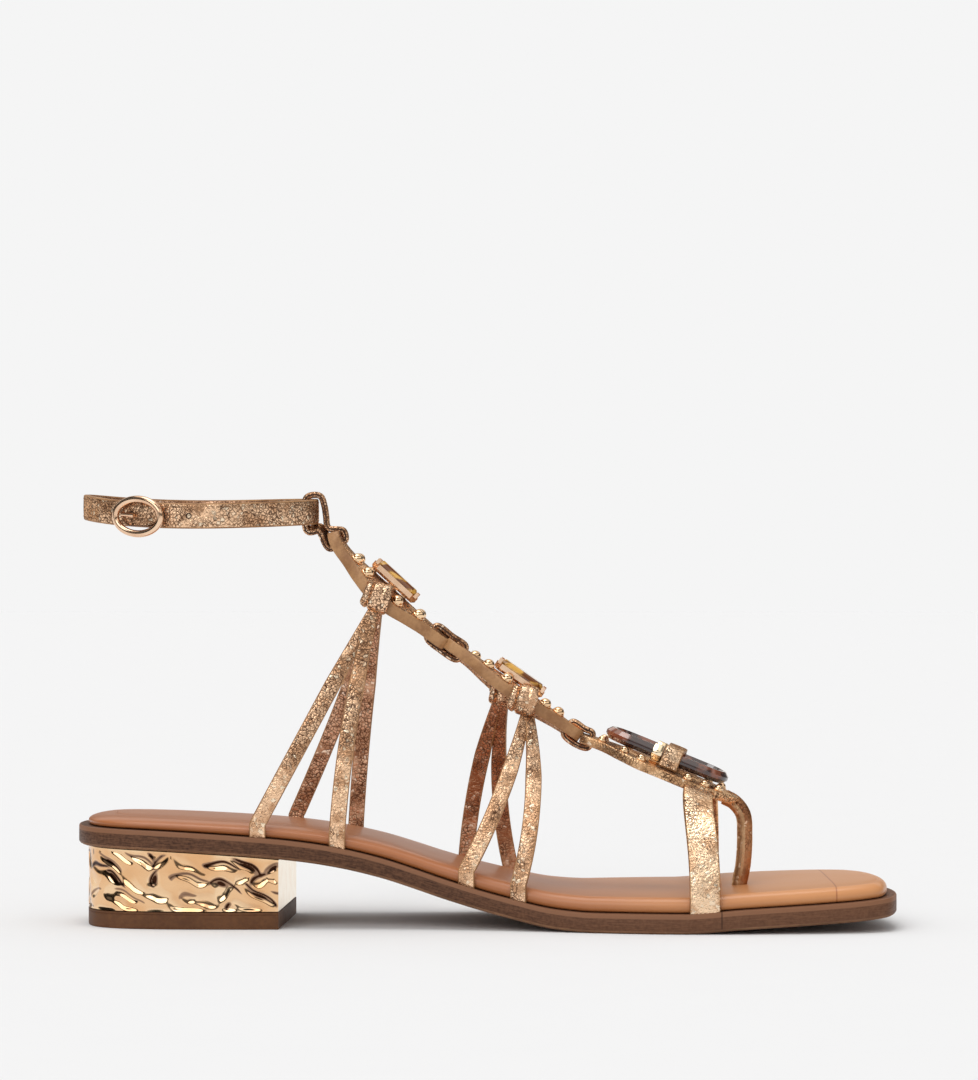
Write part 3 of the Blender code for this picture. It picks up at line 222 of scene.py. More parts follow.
class Shell:
    """Points, faces, finish numbers and surface coordinates of one piece."""

    def __init__(self) -> None:
        """An empty piece."""
        self.points: list = []
        self.faces: list = []
        self.bands: list[int] = []
        self.surface: list = []
        self.marks: dict[str, list[float]] = {}

    def add_face(self, corners: Sequence[int], surface: Sequence, band: int) -> None:
        """One face with the surface coordinates of its corners."""
        self.faces.append(tuple(corners))
        self.surface.extend(surface)
        self.bands.append(band)

    def loft(
        self, rings: Sequence, bands: Sequence[int], closed: bool = False, caps: bool = True,
        cap_band: int = 1,
    ) -> None:
        """A wall through rings of points.

        Args:
            rings: one row of points for each station, all of one length.
            bands: the finish of each strip between two points of a ring.
            closed: whether the last ring joins the first.
            caps: whether an open wall is closed at both ends.
            cap_band: the finish of those ends.
        """
        rings = [np.asarray(ring, float) for ring in rings]
        start, size, count = len(self.points), len(rings[0]), len(rings)
        for ring in rings:
            self.points.extend(ring)
        middle = rings[count // 2]
        around = run_lengths(np.array([*middle, middle[0]]))
        centres = np.array([ring.mean(axis=0) for ring in rings])
        along = run_lengths(np.array([*centres, centres[0]]))
        for k in range(count if closed else count - 1):
            here, after = start + k * size, start + (k + 1) % count * size
            for j in range(size):
                nxt = (j + 1) % size
                corners = (here + j, here + nxt, after + nxt, after + j)
                low, high = (around[j], along[k]), (around[j + 1], along[k + 1])
                self.add_face(corners, (low, (high[0], low[1]), high, (low[0], high[1])), bands[j])
        if caps and not closed:
            for ring in (0, count - 1):
                numbers = range(start + ring * size, start + (ring + 1) * size)
                self.add_face(numbers, [(around[j], along[ring]) for j in range(size)], cap_band)

    def finish(
        self, name: str, *finishes: object, sharp: float = 38.0, merge: float = 0.0
    ) -> bpy.types.Object:
        """The piece as an object in metres.

        Args:
            name: the object's name.
            finishes: what the face numbers mean.
            sharp: edges that turn more than this many degrees stay sharp.
            merge: points nearer than this are joined.

        Returns:
            The new object.
        """
        mesh = bpy.data.meshes.new(name)
        mesh.from_pydata(metres(self.points), [], self.faces)
        mesh.polygons.foreach_set("material_index", np.array(self.bands, np.int32))
        layer = mesh.uv_layers.new(name="surface")
        layer.data.foreach_set("uv", (np.array(self.surface, float) * MM).ravel())
        for mark, values in self.marks.items():
            filled = np.zeros(len(self.points), np.float32)
            filled[: len(values)] = values
            mesh.attributes.new(mark, "FLOAT", "POINT").data.foreach_set("value", filled)
        for finish in finishes:
            mesh.materials.append(material_of(finish))
        work = bmesh.new()
        work.from_mesh(mesh)
        if merge:
            bmesh.ops.remove_doubles(work, verts=work.verts, dist=merge * MM)
        bmesh.ops.recalc_face_normals(work, faces=work.faces)
        work.to_mesh(mesh)
        work.free()
        mesh.shade_smooth()
        mesh.set_sharp_from_angle(angle=math.radians(sharp))
        return stand(name, mesh)


def dress(piece: bpy.types.Object, slot: Slot, *nodes: str) -> bpy.types.Object:
    """Put a piece on the sandal in place of its solids.

    Args:
        piece: the finished object.
        slot: the record's material slot; not used.
        nodes: the solids that it stands for.

    Returns:
        The piece.
    """
    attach(piece, BODY)
    if nodes:
        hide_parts(*nodes)
    LOG.info("%s: %d faces", piece.name, len(piece.data.polygons))
    return piece


def strap_section(width: float, thickness: float, round_off: float, cells: int, crown: float) -> tuple:
    """The outline across a strap.

    Args:
        width: from edge to edge.
        thickness: from back to face.
        round_off: radius of its four corners.
        cells: steps across the face and across the back.
        crown: how much the face bulges in its middle.

    Returns:
        The points as rows of across and out, and the finish of each strip.
    """
    half, rise = width / 2, thickness / 2

    def corner(across: int, out: int, *angles: float) -> list[tuple[float, float]]:
        """Points of one round corner, at degrees from the strap's edge."""
        return [
            (
                across * (half - round_off + round_off * math.cos(angle)),
                out * (rise - round_off + round_off * math.sin(angle)),
            )
            for angle in np.radians(angles)
        ]

    shares = np.linspace(-1.0, 1.0, cells + 1)
    points = [(share * (half - round_off), rise + crown * (1 - share**2)) for share in shares]
    points += corner(1, 1, 60.0, 30.0, 0.0) + corner(1, -1, 0.0, 45.0, 90.0)
    points += [(share * (half - round_off), -rise) for share in np.linspace(1.0, -1.0, cells // 2 + 1)[1:]]
    points += corner(-1, -1, 45.0, 0.0) + corner(-1, 1, 0.0, 30.0, 60.0)
    edge = [Band.EDGE.value] * 6
    bands = [Band.FACE.value] * cells + edge + [Band.BACK.value] * (cells // 2) + edge
    return np.array(points), bands


def rolled_section(width: float, thickness: float, folds: Table, cells: int = 30) -> tuple:
    """The outline across a band with round edges and soft folds along its face.

    Args:
        width: from edge to edge.
        thickness: from back to face.
        folds: place across, from -1 to 1, and depth of each fold.
        cells: steps across the face and across the back.

    Returns:
        The points as rows of across and out, and the finish of each strip.
    """
    half, rise = width / 2, thickness / 2
    power, swell, fold_width = 4.0, 0.25, 0.09
    points = []
    for angle in np.linspace(math.pi, 0.0, cells, endpoint=False):
        share = math.cos(angle)
        level = rise * (1 - abs(share) ** power) ** (1 / power) + swell * (1 - share * share)
        for at, depth in folds:
            level -= depth * math.exp(-(((share - at) / fold_width) ** 2))
        points.append((half * share, level))
    for angle in np.linspace(0.0, math.pi, cells // 2, endpoint=False):
        share = math.cos(angle)
        points.append((half * share, -rise * (1 - abs(share) ** power) ** (1 / power)))
    bands = [Band.FACE.value] * cells + [Band.BACK.value] * (cells // 2)
    return np.array(points), bands


def lace_section(width: float, thickness: float) -> tuple:
    """The outline across a folded lace: round edges, each with a dark line between its two layers."""
    half, rise = width / 2, thickness / 2
    edge = [(0.0, 1.0), (0.40, 0.96), (0.68, 0.80), (0.84, 0.55), (0.88, 0.26), (0.66, 0.07)]
    edge += [(share, -level) for share, level in edge[::-1]]
    points = [(-half + rise, rise), (0.0, rise + 0.06), (half - rise, rise)]
    points += [(half - rise + share * rise, level * rise) for share, level in edge[1:-1]]
    points += [(half - rise, -rise), (0.0, -rise), (-half + rise, -rise)]
    points += [(-half + rise - share * rise, -level * rise) for share, level in edge[1:-1]]
    bands = [Band.FACE.value] * len(points)
    last = len(points) - 1
    for first in (2, last - len(edge) + 2):
        for step in (4, 5, 6):
            bands[first + step] = Band.EDGE.value
    return np.array(points), bands


def bar_section(count: int, radius: Callable[[float, float], float], start: float = 0.0) -> np.ndarray:
    """The outline across a round or bevelled bar.

    Args:
        count: steps round the bar.
        radius: half its thickness in the direction with a given cosine and sine.
        start: the angle of the first point.

    Returns:
        The points as rows of across and out.
    """
    rays = np.array([(math.cos(angle), math.sin(angle)) for angle in turns(count) + start])
    return rays * np.array([[radius(cosine, sine)] for cosine, sine in rays])


def tangents_of(path: np.ndarray, closed: bool = False) -> np.ndarray:
    """Unit directions along a path."""
    if closed:
        steps = np.roll(path, -1, axis=0) - np.roll(path, 1, axis=0)
    else:
        steps = np.gradient(path, axis=0)
    return steps / np.linalg.norm(steps, axis=1)[:, None]


def strap_rings(
    path: np.ndarray, across: Sequence, section: np.ndarray, flip: bool = False, closed: bool = False,
    widths: Optional[Sequence[float]] = None,
) -> list[np.ndarray]:
    """A section carried along a path.

    Args:
        path: the strap's centre line.
        across: its width direction at each point.
        section: points of across and out.
        flip: whether the face looks the other way.
        closed: whether the path runs back to its start.
        widths: share of the section's width at each point.

    Returns:
        One ring of points for each point of the path.
    """
    rings = []
    shares = np.ones(len(path)) if widths is None else widths
    for place, tangent, direction, share in zip(path, tangents_of(path, closed), across, shares):
        out = unit(np.cross(tangent, direction))
        side = unit(np.cross(out, tangent))
        out = -out if flip else out
        rings.append(place + np.outer(section[:, 0] * share, side) + np.outer(section[:, 1], out))
    return rings


# Finishes


class Wiring:
    """A tree of nodes, laid out by short calls."""

    def __init__(self, tree: bpy.types.NodeTree) -> None:
        """Take the tree as it is."""
        self.tree = tree

    def node(self, kind: str, settings: Optional[dict] = None, **sockets: object) -> bpy.types.Node:
        """A node with its settings and its inputs.

        Args:
            kind: the node's type; a shader node's goes without its ShaderNode prefix.
            settings: properties of the node.
            sockets: values or links for its inputs, by name.

        Returns:
            The node.
        """
        made = self.tree.nodes.new(kind if "Node" in kind else "ShaderNode" + kind)
        for key, value in (settings or {}).items():
            setattr(made, key, value)
        for key, value in sockets.items():
            self.feed(made.inputs[key.replace("_", " ")], value)
        return made

    def feed(self, socket: bpy.types.NodeSocket, value: object) -> None:
        """Link a socket, or set its value."""
        if isinstance(value, bpy.types.NodeSocket):
            self.tree.links.new(value, socket)
        elif isinstance(value, tuple) and len(value) == 3 and len(socket.default_value) == 4:
            socket.default_value = (*value, 1.0)
        else:
            socket.default_value = value

    def maths(self, operation: str, first: Number, second: Number = 0.0, third: Number = 0.0) -> object:
        """The result of a Math node."""
        made = self.node("Math", {"operation": operation})
        for socket, value in zip(made.inputs, (first, second, third)):
            self.feed(socket, value)
        return made.outputs[0]

    def ramp(self, value: object, low: float, high: float, start: float = 0.0, end: float = 1.0) -> object:
        """A value taken smoothly from one range to another, held flat outside."""
        smooth_step = {"interpolation_type": "SMOOTHSTEP"}
        limits = {"From_Min": low, "From_Max": high, "To_Min": start, "To_Max": end}
        return self.node("MapRange", smooth_step, Value=value, **limits).outputs["Result"]


class Board(Wiring):
    """A material's nodes."""

    def __init__(self, name: str) -> None:
        """A new material with a Principled shader."""
        self.material = bpy.data.materials.new(name)
        self.material.use_nodes = True
        super().__init__(self.material.node_tree)
        self.shader = self.tree.nodes["Principled BSDF"]
        coordinates = self.node("TexCoord")
        self.place = coordinates.outputs["Object"]
        self.surface = coordinates.outputs["UV"]

    def shade(self, **sockets: object) -> bpy.types.Material:
        """Set inputs of the Principled shader and give the material."""
        for key, value in sockets.items():
            self.feed(self.shader.inputs[key.replace("_", " ")], value)
        return self.material

    def noise(self, scale: float, detail: float = 2.0, vector: object = None, rough: float = 0.5) -> object:
        """The value of a noise texture with this many waves a metre."""
        place = vector or self.place
        made = self.node("TexNoise", Vector=place, Scale=scale, Detail=detail, Roughness=rough)
        return made.outputs["Fac"]

    def cells(self, scale: float, feature: str = "F1", vector: object = None) -> bpy.types.Node:
        """A Voronoi texture with this many cells a metre."""
        return self.node("TexVoronoi", {"feature": feature}, Vector=vector or self.place, Scale=scale)

    def stretch(self, scale: tuple, vector: object = None) -> object:
        """Coordinates scaled on each axis."""
        return self.node("Mapping", Vector=vector or self.place, Scale=scale).outputs["Vector"]

    def mix(self, share: Number, first: object, second: object) -> object:
        """Two colours mixed."""
        made = self.node("Mix", {"data_type": "RGBA"})
        self.feed(made.inputs[0], share)
        self.feed(made.inputs[6], first)
        self.feed(made.inputs[7], second)
        return made.outputs[2]

    def line(self, along: object, at: float, half_width: float) -> object:
        """A thin line across the piece at a place in millimetres; 0 on the line and 1 beside it."""
        beside = self.maths("ABSOLUTE", self.maths("SUBTRACT", along, at * MM))
        return self.ramp(beside, 0.0, half_width * MM)

    def bump(self, height: object, depth: float, strength: float = 1.0, before: object = None) -> object:
        """A normal from a height, with its depth in millimetres."""
        made = self.node("Bump", Height=height, Distance=depth * MM, Strength=strength)
        if before is not None:
            self.feed(made.inputs["Normal"], before)
        return made.outputs["Normal"]

    def axis(self, name: str, vector: object = None) -> object:
        """One coordinate, X, Y or Z."""
        return self.node("SeparateXYZ", Vector=vector or self.place).outputs[name]

    def mark(self, name: str) -> object:
        """The value of a mesh attribute."""
        made = self.node("Attribute")
        made.attribute_name = name
        return made.outputs["Fac"]


@dataclass(frozen=True)
class CrackleLeather:
    """Metallic leather with a fine net of cracks in its gold film, calmer towards the sole."""

    name: str
    gold: Colour
    deep: Colour
    dark: Colour
    flake: Colour
    wear: float  # share of the surface with open cracks
    grain: float = 980.0  # cells a metre
    crack: float = 0.17  # width of the cracks as a share of a cell
    shine: float = 0.27
    glint: float = 0.88  # level of the cells above which they shine
    calm: float = 0.035  # height under which the film is nearly whole
    edge: Colour = (0.86, 0.62, 0.44)  # tint of the film seen at a flat angle

    def build(self) -> bpy.types.Material:
        """The material."""
        board = Board(self.name)
        shift = board.node("TexNoise", Vector=board.place, Scale=700.0, Detail=2.0).outputs["Color"]
        moved = board.node("VectorMath", {"operation": "MULTIPLY_ADD"})
        for socket, value in zip(moved.inputs, (shift, (0.0011, 0.0011, 0.0011), board.place)):
            board.feed(socket, value)
        place = moved.outputs["Vector"]
        cells = board.cells(self.grain, vector=place)
        border = board.cells(self.grain, "DISTANCE_TO_EDGE", place).outputs["Distance"]
        patch = board.noise(85.0, 3.0, rough=0.6)
        cloud = board.noise(115.0, 3.0, rough=0.6)
        speck = board.noise(1900.0, 2.0)
        high = board.ramp(board.axis("Z"), self.calm, self.calm + 0.045, -0.16, 0.03)
        level = board.maths("ADD", patch, high)
        worn = board.ramp(level, 0.60 - 0.30 * self.wear, 0.72 - 0.30 * self.wear, 0.10, 1.0)
        split = board.maths("MULTIPLY", board.ramp(border, 0.0, self.crack, 1.0, 0.0), worn)
        spots = board.maths("MULTIPLY", board.ramp(speck, 0.64, 0.71), worn)
        bare = board.maths("MAXIMUM", split, spots)
        random = board.node("SeparateXYZ", Vector=cells.outputs["Color"])
        clouded = board.ramp(cloud, 0.42, 0.58, 0.12, 1.0)
        tone = board.maths("MULTIPLY_ADD", random.outputs["X"], 0.22, clouded)
        bright = board.ramp(random.outputs["Y"], self.glint, self.glint + 0.1)
        film = board.mix(bright, board.mix(tone, self.deep, self.gold), self.flake)
        pillow = board.maths("MINIMUM", border, 0.28)
        tilt = board.maths("MULTIPLY_ADD", random.outputs["Z"], 0.05, pillow)
        wrinkle = board.bump(board.noise(210.0, 2.0), 0.75, 0.8)
        return board.shade(
            Base_Color=board.mix(bare, film, self.dark),
            Metallic=board.ramp(bare, 0.0, 1.0, 1.0, 0.2),
            Roughness=board.ramp(bare, 0.0, 1.0, self.shine, 0.65),
            Specular_IOR_Level=0.08,
            Specular_Tint=self.edge,
            Normal=board.bump(tilt, 0.26, 0.8, wrinkle),
        )


@dataclass(frozen=True)
class CutEdge:
    """Smooth painted edge of a leather strap."""

    name: str
    tan: Colour
    brown: Colour
    rough: float = 0.42

    def build(self) -> bpy.types.Material:
        """The material."""
        board = Board(self.name)
        fibre = board.noise(900.0, 4.0, rough=0.6)
        cloud = board.noise(120.0, 2.0)
        mixed = board.maths("MULTIPLY_ADD", fibre, 0.35, board.maths("MULTIPLY", cloud, 0.75))
        return board.shade(
            Base_Color=board.mix(board.ramp(mixed, 0.38, 0.72), self.tan, self.brown),
            Roughness=board.ramp(fibre, 0.3, 0.7, self.rough, self.rough + 0.14),
            Metallic=0.12,
            Normal=board.bump(fibre, 0.05, 0.5),
        )


@dataclass(frozen=True)
class GlossLeather:
    """Smooth padded leather with a high gloss."""

    name: str
    light: Colour
    deep: Colour
    toe_from: float  # where the colour turns lighter towards the toe
    toe_to: float
    seam_at: float  # where the covering is joined

    def build(self) -> bpy.types.Material:
        """The material."""
        board = Board(self.name)
        along = board.axis("X")
        cloud = board.noise(26.0, 3.0)
        pores = board.cells(1500.0)
        toe = board.ramp(along, self.toe_from * MM, self.toe_to * MM)
        share = board.maths("MULTIPLY_ADD", board.maths("SUBTRACT", cloud, 0.5), 0.6, toe)
        seam = board.line(along, self.seam_at, 0.4)
        tone = board.mix(share, self.deep, self.light)
        return board.shade(
            Base_Color=board.mix(seam, tuple(c * 0.95 for c in self.deep), tone),
            Roughness=board.ramp(cloud, 0.3, 0.7, 0.36, 0.46),
            Normal=board.bump(seam, 0.07, 0.5, board.bump(pores.outputs["Distance"], 0.03, 0.25)),
            Coat_Weight=0.3,
            Coat_Roughness=0.2,
            Specular_IOR_Level=0.5,
        )


@dataclass(frozen=True)
class StackedLeather:
    """Edge of a stacked leather sole, streaked at the heel and specked at the toe: both grains mixed all
    along, warmer towards the toe.
    """

    name: str
    brown: Colour
    deep: Colour
    rim: Colour
    rim_from: float  # height over the side's lower edge at which the lighter rim starts
    joint_at: float  # where the strip is joined

    def build(self) -> bpy.types.Material:
        """The material."""
        board = Board(self.name)
        streak = board.noise(1.0, 4.0, board.stretch((260.0, 2600.0, 1.0), board.surface), 0.65)
        speck = board.noise(1100.0, 3.0, rough=0.6)
        along = board.axis("X")
        front = board.ramp(along, -0.02, 0.06)
        specks = board.maths("MULTIPLY", speck, 0.38)
        grain = board.maths("ADD", board.maths("MULTIPLY", streak, 0.62), specks)
        base = board.mix(board.ramp(grain, 0.34, 0.66), self.deep, self.brown)
        warmer = board.mix(board.maths("MULTIPLY", front, 0.35), base, tuple(c * 1.35 for c in self.brown))
        height = board.axis("Y", board.surface)
        rim = board.ramp(height, (self.rim_from - 0.25) * MM, self.rim_from * MM)
        joint = board.line(along, self.joint_at, 0.35)
        return board.shade(
            Base_Color=board.mix(joint, self.deep, board.mix(rim, warmer, self.rim)),
            Roughness=board.ramp(grain, 0.3, 0.7, 0.62, 0.42),
            Normal=board.bump(grain, 0.10, 0.55),
            Specular_IOR_Level=0.22,
        )


@dataclass(frozen=True)
class PlainLeather:
    """Leather or rubber of one colour with a fine grain."""

    name: str
    colour: Colour
    deep: Colour
    grain: float
    rough: float
    depth: float = 0.06

    def build(self) -> bpy.types.Material:
        """The material."""
        board = Board(self.name)
        grain = board.noise(self.grain, 4.0, rough=0.6)
        tone = board.ramp(board.maths("ADD", grain, board.noise(60.0, 2.0)), 0.7, 1.3)
        return board.shade(
            Base_Color=board.mix(tone, self.deep, self.colour),
            Roughness=board.ramp(grain, 0.3, 0.7, self.rough, self.rough + 0.12),
            Specular_IOR_Level=0.25,
            Normal=board.bump(grain, self.depth, 0.6),
        )


@dataclass(frozen=True)
class PolishedMetal:
    """Bright plated metal with faint clouding."""

    name: str
    bright: Colour
    deep: Colour
    rough: float
    ripple: float = 0.02

    def build(self) -> bpy.types.Material:
        """The material."""
        board = Board(self.name)
        cloud = board.noise(160.0, 3.0)
        return board.shade(
            Base_Color=board.mix(board.ramp(cloud, 0.35, 0.7), self.bright, self.deep),
            Metallic=1.0,
            Roughness=board.ramp(cloud, 0.3, 0.7, self.rough, self.rough + 0.06),
            Normal=board.bump(board.noise(420.0, 2.0), self.ripple, 0.3),
        )


@dataclass(frozen=True)
class HammeredMetal:
    """Mirror plate beaten into hollows, with warm ridges and dark reflections painted into the hollows."""

    name: str
    bright: Colour
    warm: Colour
    # dark and the taupe below it are painted reflections: the studio's dark gaps drawn into the hollows as
    # colour
    dark: Colour
    reflection_taupe: Colour

    def build(self) -> bpy.types.Material:
        """The material."""
        board = Board(self.name)
        # this mark says where the dark reflections are painted into the hollows
        hollow = board.mark("hollow")
        ridge = board.mark("ridge")
        cloud = board.noise(90.0, 2.0)
        fine = board.noise(700.0, 2.0)
        sheet = board.mix(board.ramp(cloud, 0.35, 0.65), self.bright, self.warm)
        sheet = board.mix(board.maths("MULTIPLY", ridge, 0.55), sheet, self.warm)
        reflected_sheet = board.mix(board.ramp(hollow, 0.10, 0.34), sheet, self.reflection_taupe)
        return board.shade(
            # painted reflection: the dark and taupe shapes in the hollows
            Base_Color=board.mix(board.ramp(hollow, 0.42, 0.60), reflected_sheet, self.dark),
            Metallic=1.0,
            Roughness=board.ramp(fine, 0.3, 0.7, 0.07, 0.12),
        )


@dataclass(frozen=True)
class Tortoiseshell:
    """Dark polished resin with amber clouds in it."""

    name: str
    dark: Colour
    amber: Colour

    def build(self) -> bpy.types.Material:
        """The material."""
        board = Board(self.name)
        cloud = board.noise(95.0, 3.0, board.stretch((1.0, 1.6, 1.3)), 0.55)
        edge = board.noise(420.0, 2.0)
        level = board.maths("MULTIPLY_ADD", board.maths("SUBTRACT", edge, 0.5), 0.12, cloud)
        return board.shade(
            Base_Color=board.mix(board.ramp(level, 0.42, 0.60), self.dark, self.amber),
            Roughness=0.12,
            Coat_Weight=0.9,
            Coat_Roughness=0.04,
            Specular_IOR_Level=0.6,
            Subsurface_Weight=0.15,
            Subsurface_Scale=0.002,
        )


@dataclass(frozen=True)
class AmberGlass:
    """Cut glass the colour of amber, streaked along its length."""

    name: str
    amber: Colour
    honey: Colour
    lean: float = -0.72  # slant of the streaks, in radians

    def build(self) -> bpy.types.Material:
        """The material."""
        board = Board(self.name)
        lean = {"Rotation": (0.0, self.lean, 0.0), "Scale": (110.0, 420.0, 420.0)}
        streak = board.noise(1.0, 2.0, board.node("Mapping", Vector=board.place, **lean).outputs["Vector"])
        return board.shade(
            Base_Color=board.mix(board.ramp(streak, 0.44, 0.60), self.amber, self.honey),
            Roughness=0.04,
            Transmission_Weight=0.2,
            IOR=1.6,
            Coat_Weight=0.5,
            Coat_Roughness=0.03,
        )


CRACKLE = CrackleLeather(
    "crackle_gold", gold=(1.0, 0.66, 0.42), deep=(0.52, 0.275, 0.142), dark=(0.060, 0.022, 0.010),
    flake=(1.0, 0.80, 0.58), wear=0.80, shine=0.24,
)
CRACKLE_PALE = CrackleLeather(
    "crackle_pale_gold", gold=(1.0, 0.72, 0.48), deep=(0.60, 0.345, 0.190), dark=(0.070, 0.028, 0.013),
    flake=(1.0, 0.84, 0.64), wear=0.62, shine=0.25, calm=0.018,
)
CRACKLE_DARK = CrackleLeather(
    "crackle_dark_gold", gold=(0.80, 0.48, 0.28), deep=(0.36, 0.175, 0.085), dark=(0.045, 0.018, 0.009),
    flake=(1.0, 0.76, 0.55), wear=0.90,
)
LINING = CrackleLeather(
    "glitter_lining", gold=(0.82, 0.50, 0.32), deep=(0.42, 0.205, 0.110), dark=(0.10, 0.040, 0.020),
    flake=(1.0, 0.78, 0.60), wear=0.75, shine=0.30, calm=0.0,
)
GOLD_EDGE = CrackleLeather(
    "crackle_gold_edge", gold=(0.86, 0.55, 0.31), deep=(0.50, 0.270, 0.130), dark=(0.07, 0.030, 0.015),
    flake=(1.0, 0.78, 0.55), wear=0.60, shine=0.34, calm=0.0,
)
POST_FACE = CrackleLeather(
    "post_gold_leather", gold=(0.62, 0.38, 0.21), deep=(0.42, 0.225, 0.108), dark=(0.10, 0.045, 0.022),
    flake=(0.92, 0.70, 0.48), wear=0.35, shine=0.33,
)
POST_BACK = CrackleLeather(
    "post_glitter", gold=(0.52, 0.25, 0.12), deep=(0.30, 0.125, 0.058), dark=(0.09, 0.034, 0.017),
    flake=(0.85, 0.58, 0.38), wear=0.55, shine=0.36, calm=0.0,
)
TAN_EDGE = CutEdge("tan_cut_edge", (0.46, 0.245, 0.105), (0.28, 0.130, 0.050))
BROWN_EDGE = CutEdge("brown_cut_edge", (0.120, 0.052, 0.027), (0.050, 0.020, 0.011))
INSOLE_LEATHER = GlossLeather(
    "gloss_tan_leather", (0.63, 0.275, 0.102), (0.42, 0.143, 0.045), 0.0, 110.0, 106.5
)
SOLE_EDGE = StackedLeather(
    "stacked_sole_edge", (0.150, 0.066, 0.033), (0.050, 0.020, 0.010), (0.23, 0.105, 0.054), 5.3, 71.4
)
SOLE_BEVEL = PlainLeather("sole_bevel", (0.24, 0.12, 0.062), (0.15, 0.072, 0.036), 500.0, 0.55)
SOLE_BOTTOM = PlainLeather(
    "sole_bottom_leather", (0.20, 0.092, 0.046), (0.125, 0.055, 0.027), 380.0, 0.5, 0.1
)
LIFT_RUBBER = PlainLeather("lift_rubber", (0.150, 0.062, 0.024), (0.100, 0.039, 0.015), 700.0, 0.5)
THREAD = PlainLeather("tan_thread", (0.36, 0.20, 0.10), (0.19, 0.095, 0.045), 3000.0, 0.55)
# painted shade: the near-black colour of the hole dishes stands in for the shade inside the openings
HOLE_SHADE = PlainLeather("punched_hole", (0.035, 0.016, 0.010), (0.020, 0.010, 0.006), 900.0, 0.7)
# The dark and taupe colours of the hammered gold are painted reflections in its hollows.
HAMMERED = HammeredMetal(
    "hammered_gold", (0.95, 0.68, 0.42), (0.82, 0.47, 0.23), (0.040, 0.014, 0.007), (0.34, 0.205, 0.13)
)
MIRROR_GOLD = PolishedMetal("mirror_gold", (1.0, 0.84, 0.60), (0.94, 0.72, 0.46), 0.07)
STUD_GOLD = PolishedMetal("stud_gold", (0.96, 0.68, 0.42), (0.84, 0.54, 0.31), 0.05, 0.002)
ROSE_GOLD = PolishedMetal("rose_gold", (0.93, 0.66, 0.46), (0.80, 0.52, 0.34), 0.11)
SHELL = Tortoiseshell("tortoiseshell_resin", (0.030, 0.010, 0.009), (0.27, 0.080, 0.036))
AMBER = AmberGlass("amber_cut_glass", (0.20, 0.060, 0.012), (0.90, 0.50, 0.10))


@functools.cache
def material_of(finish: object) -> bpy.types.Material:
    """The material of a finish, built once."""
    return finish.build()


# Sole and heel


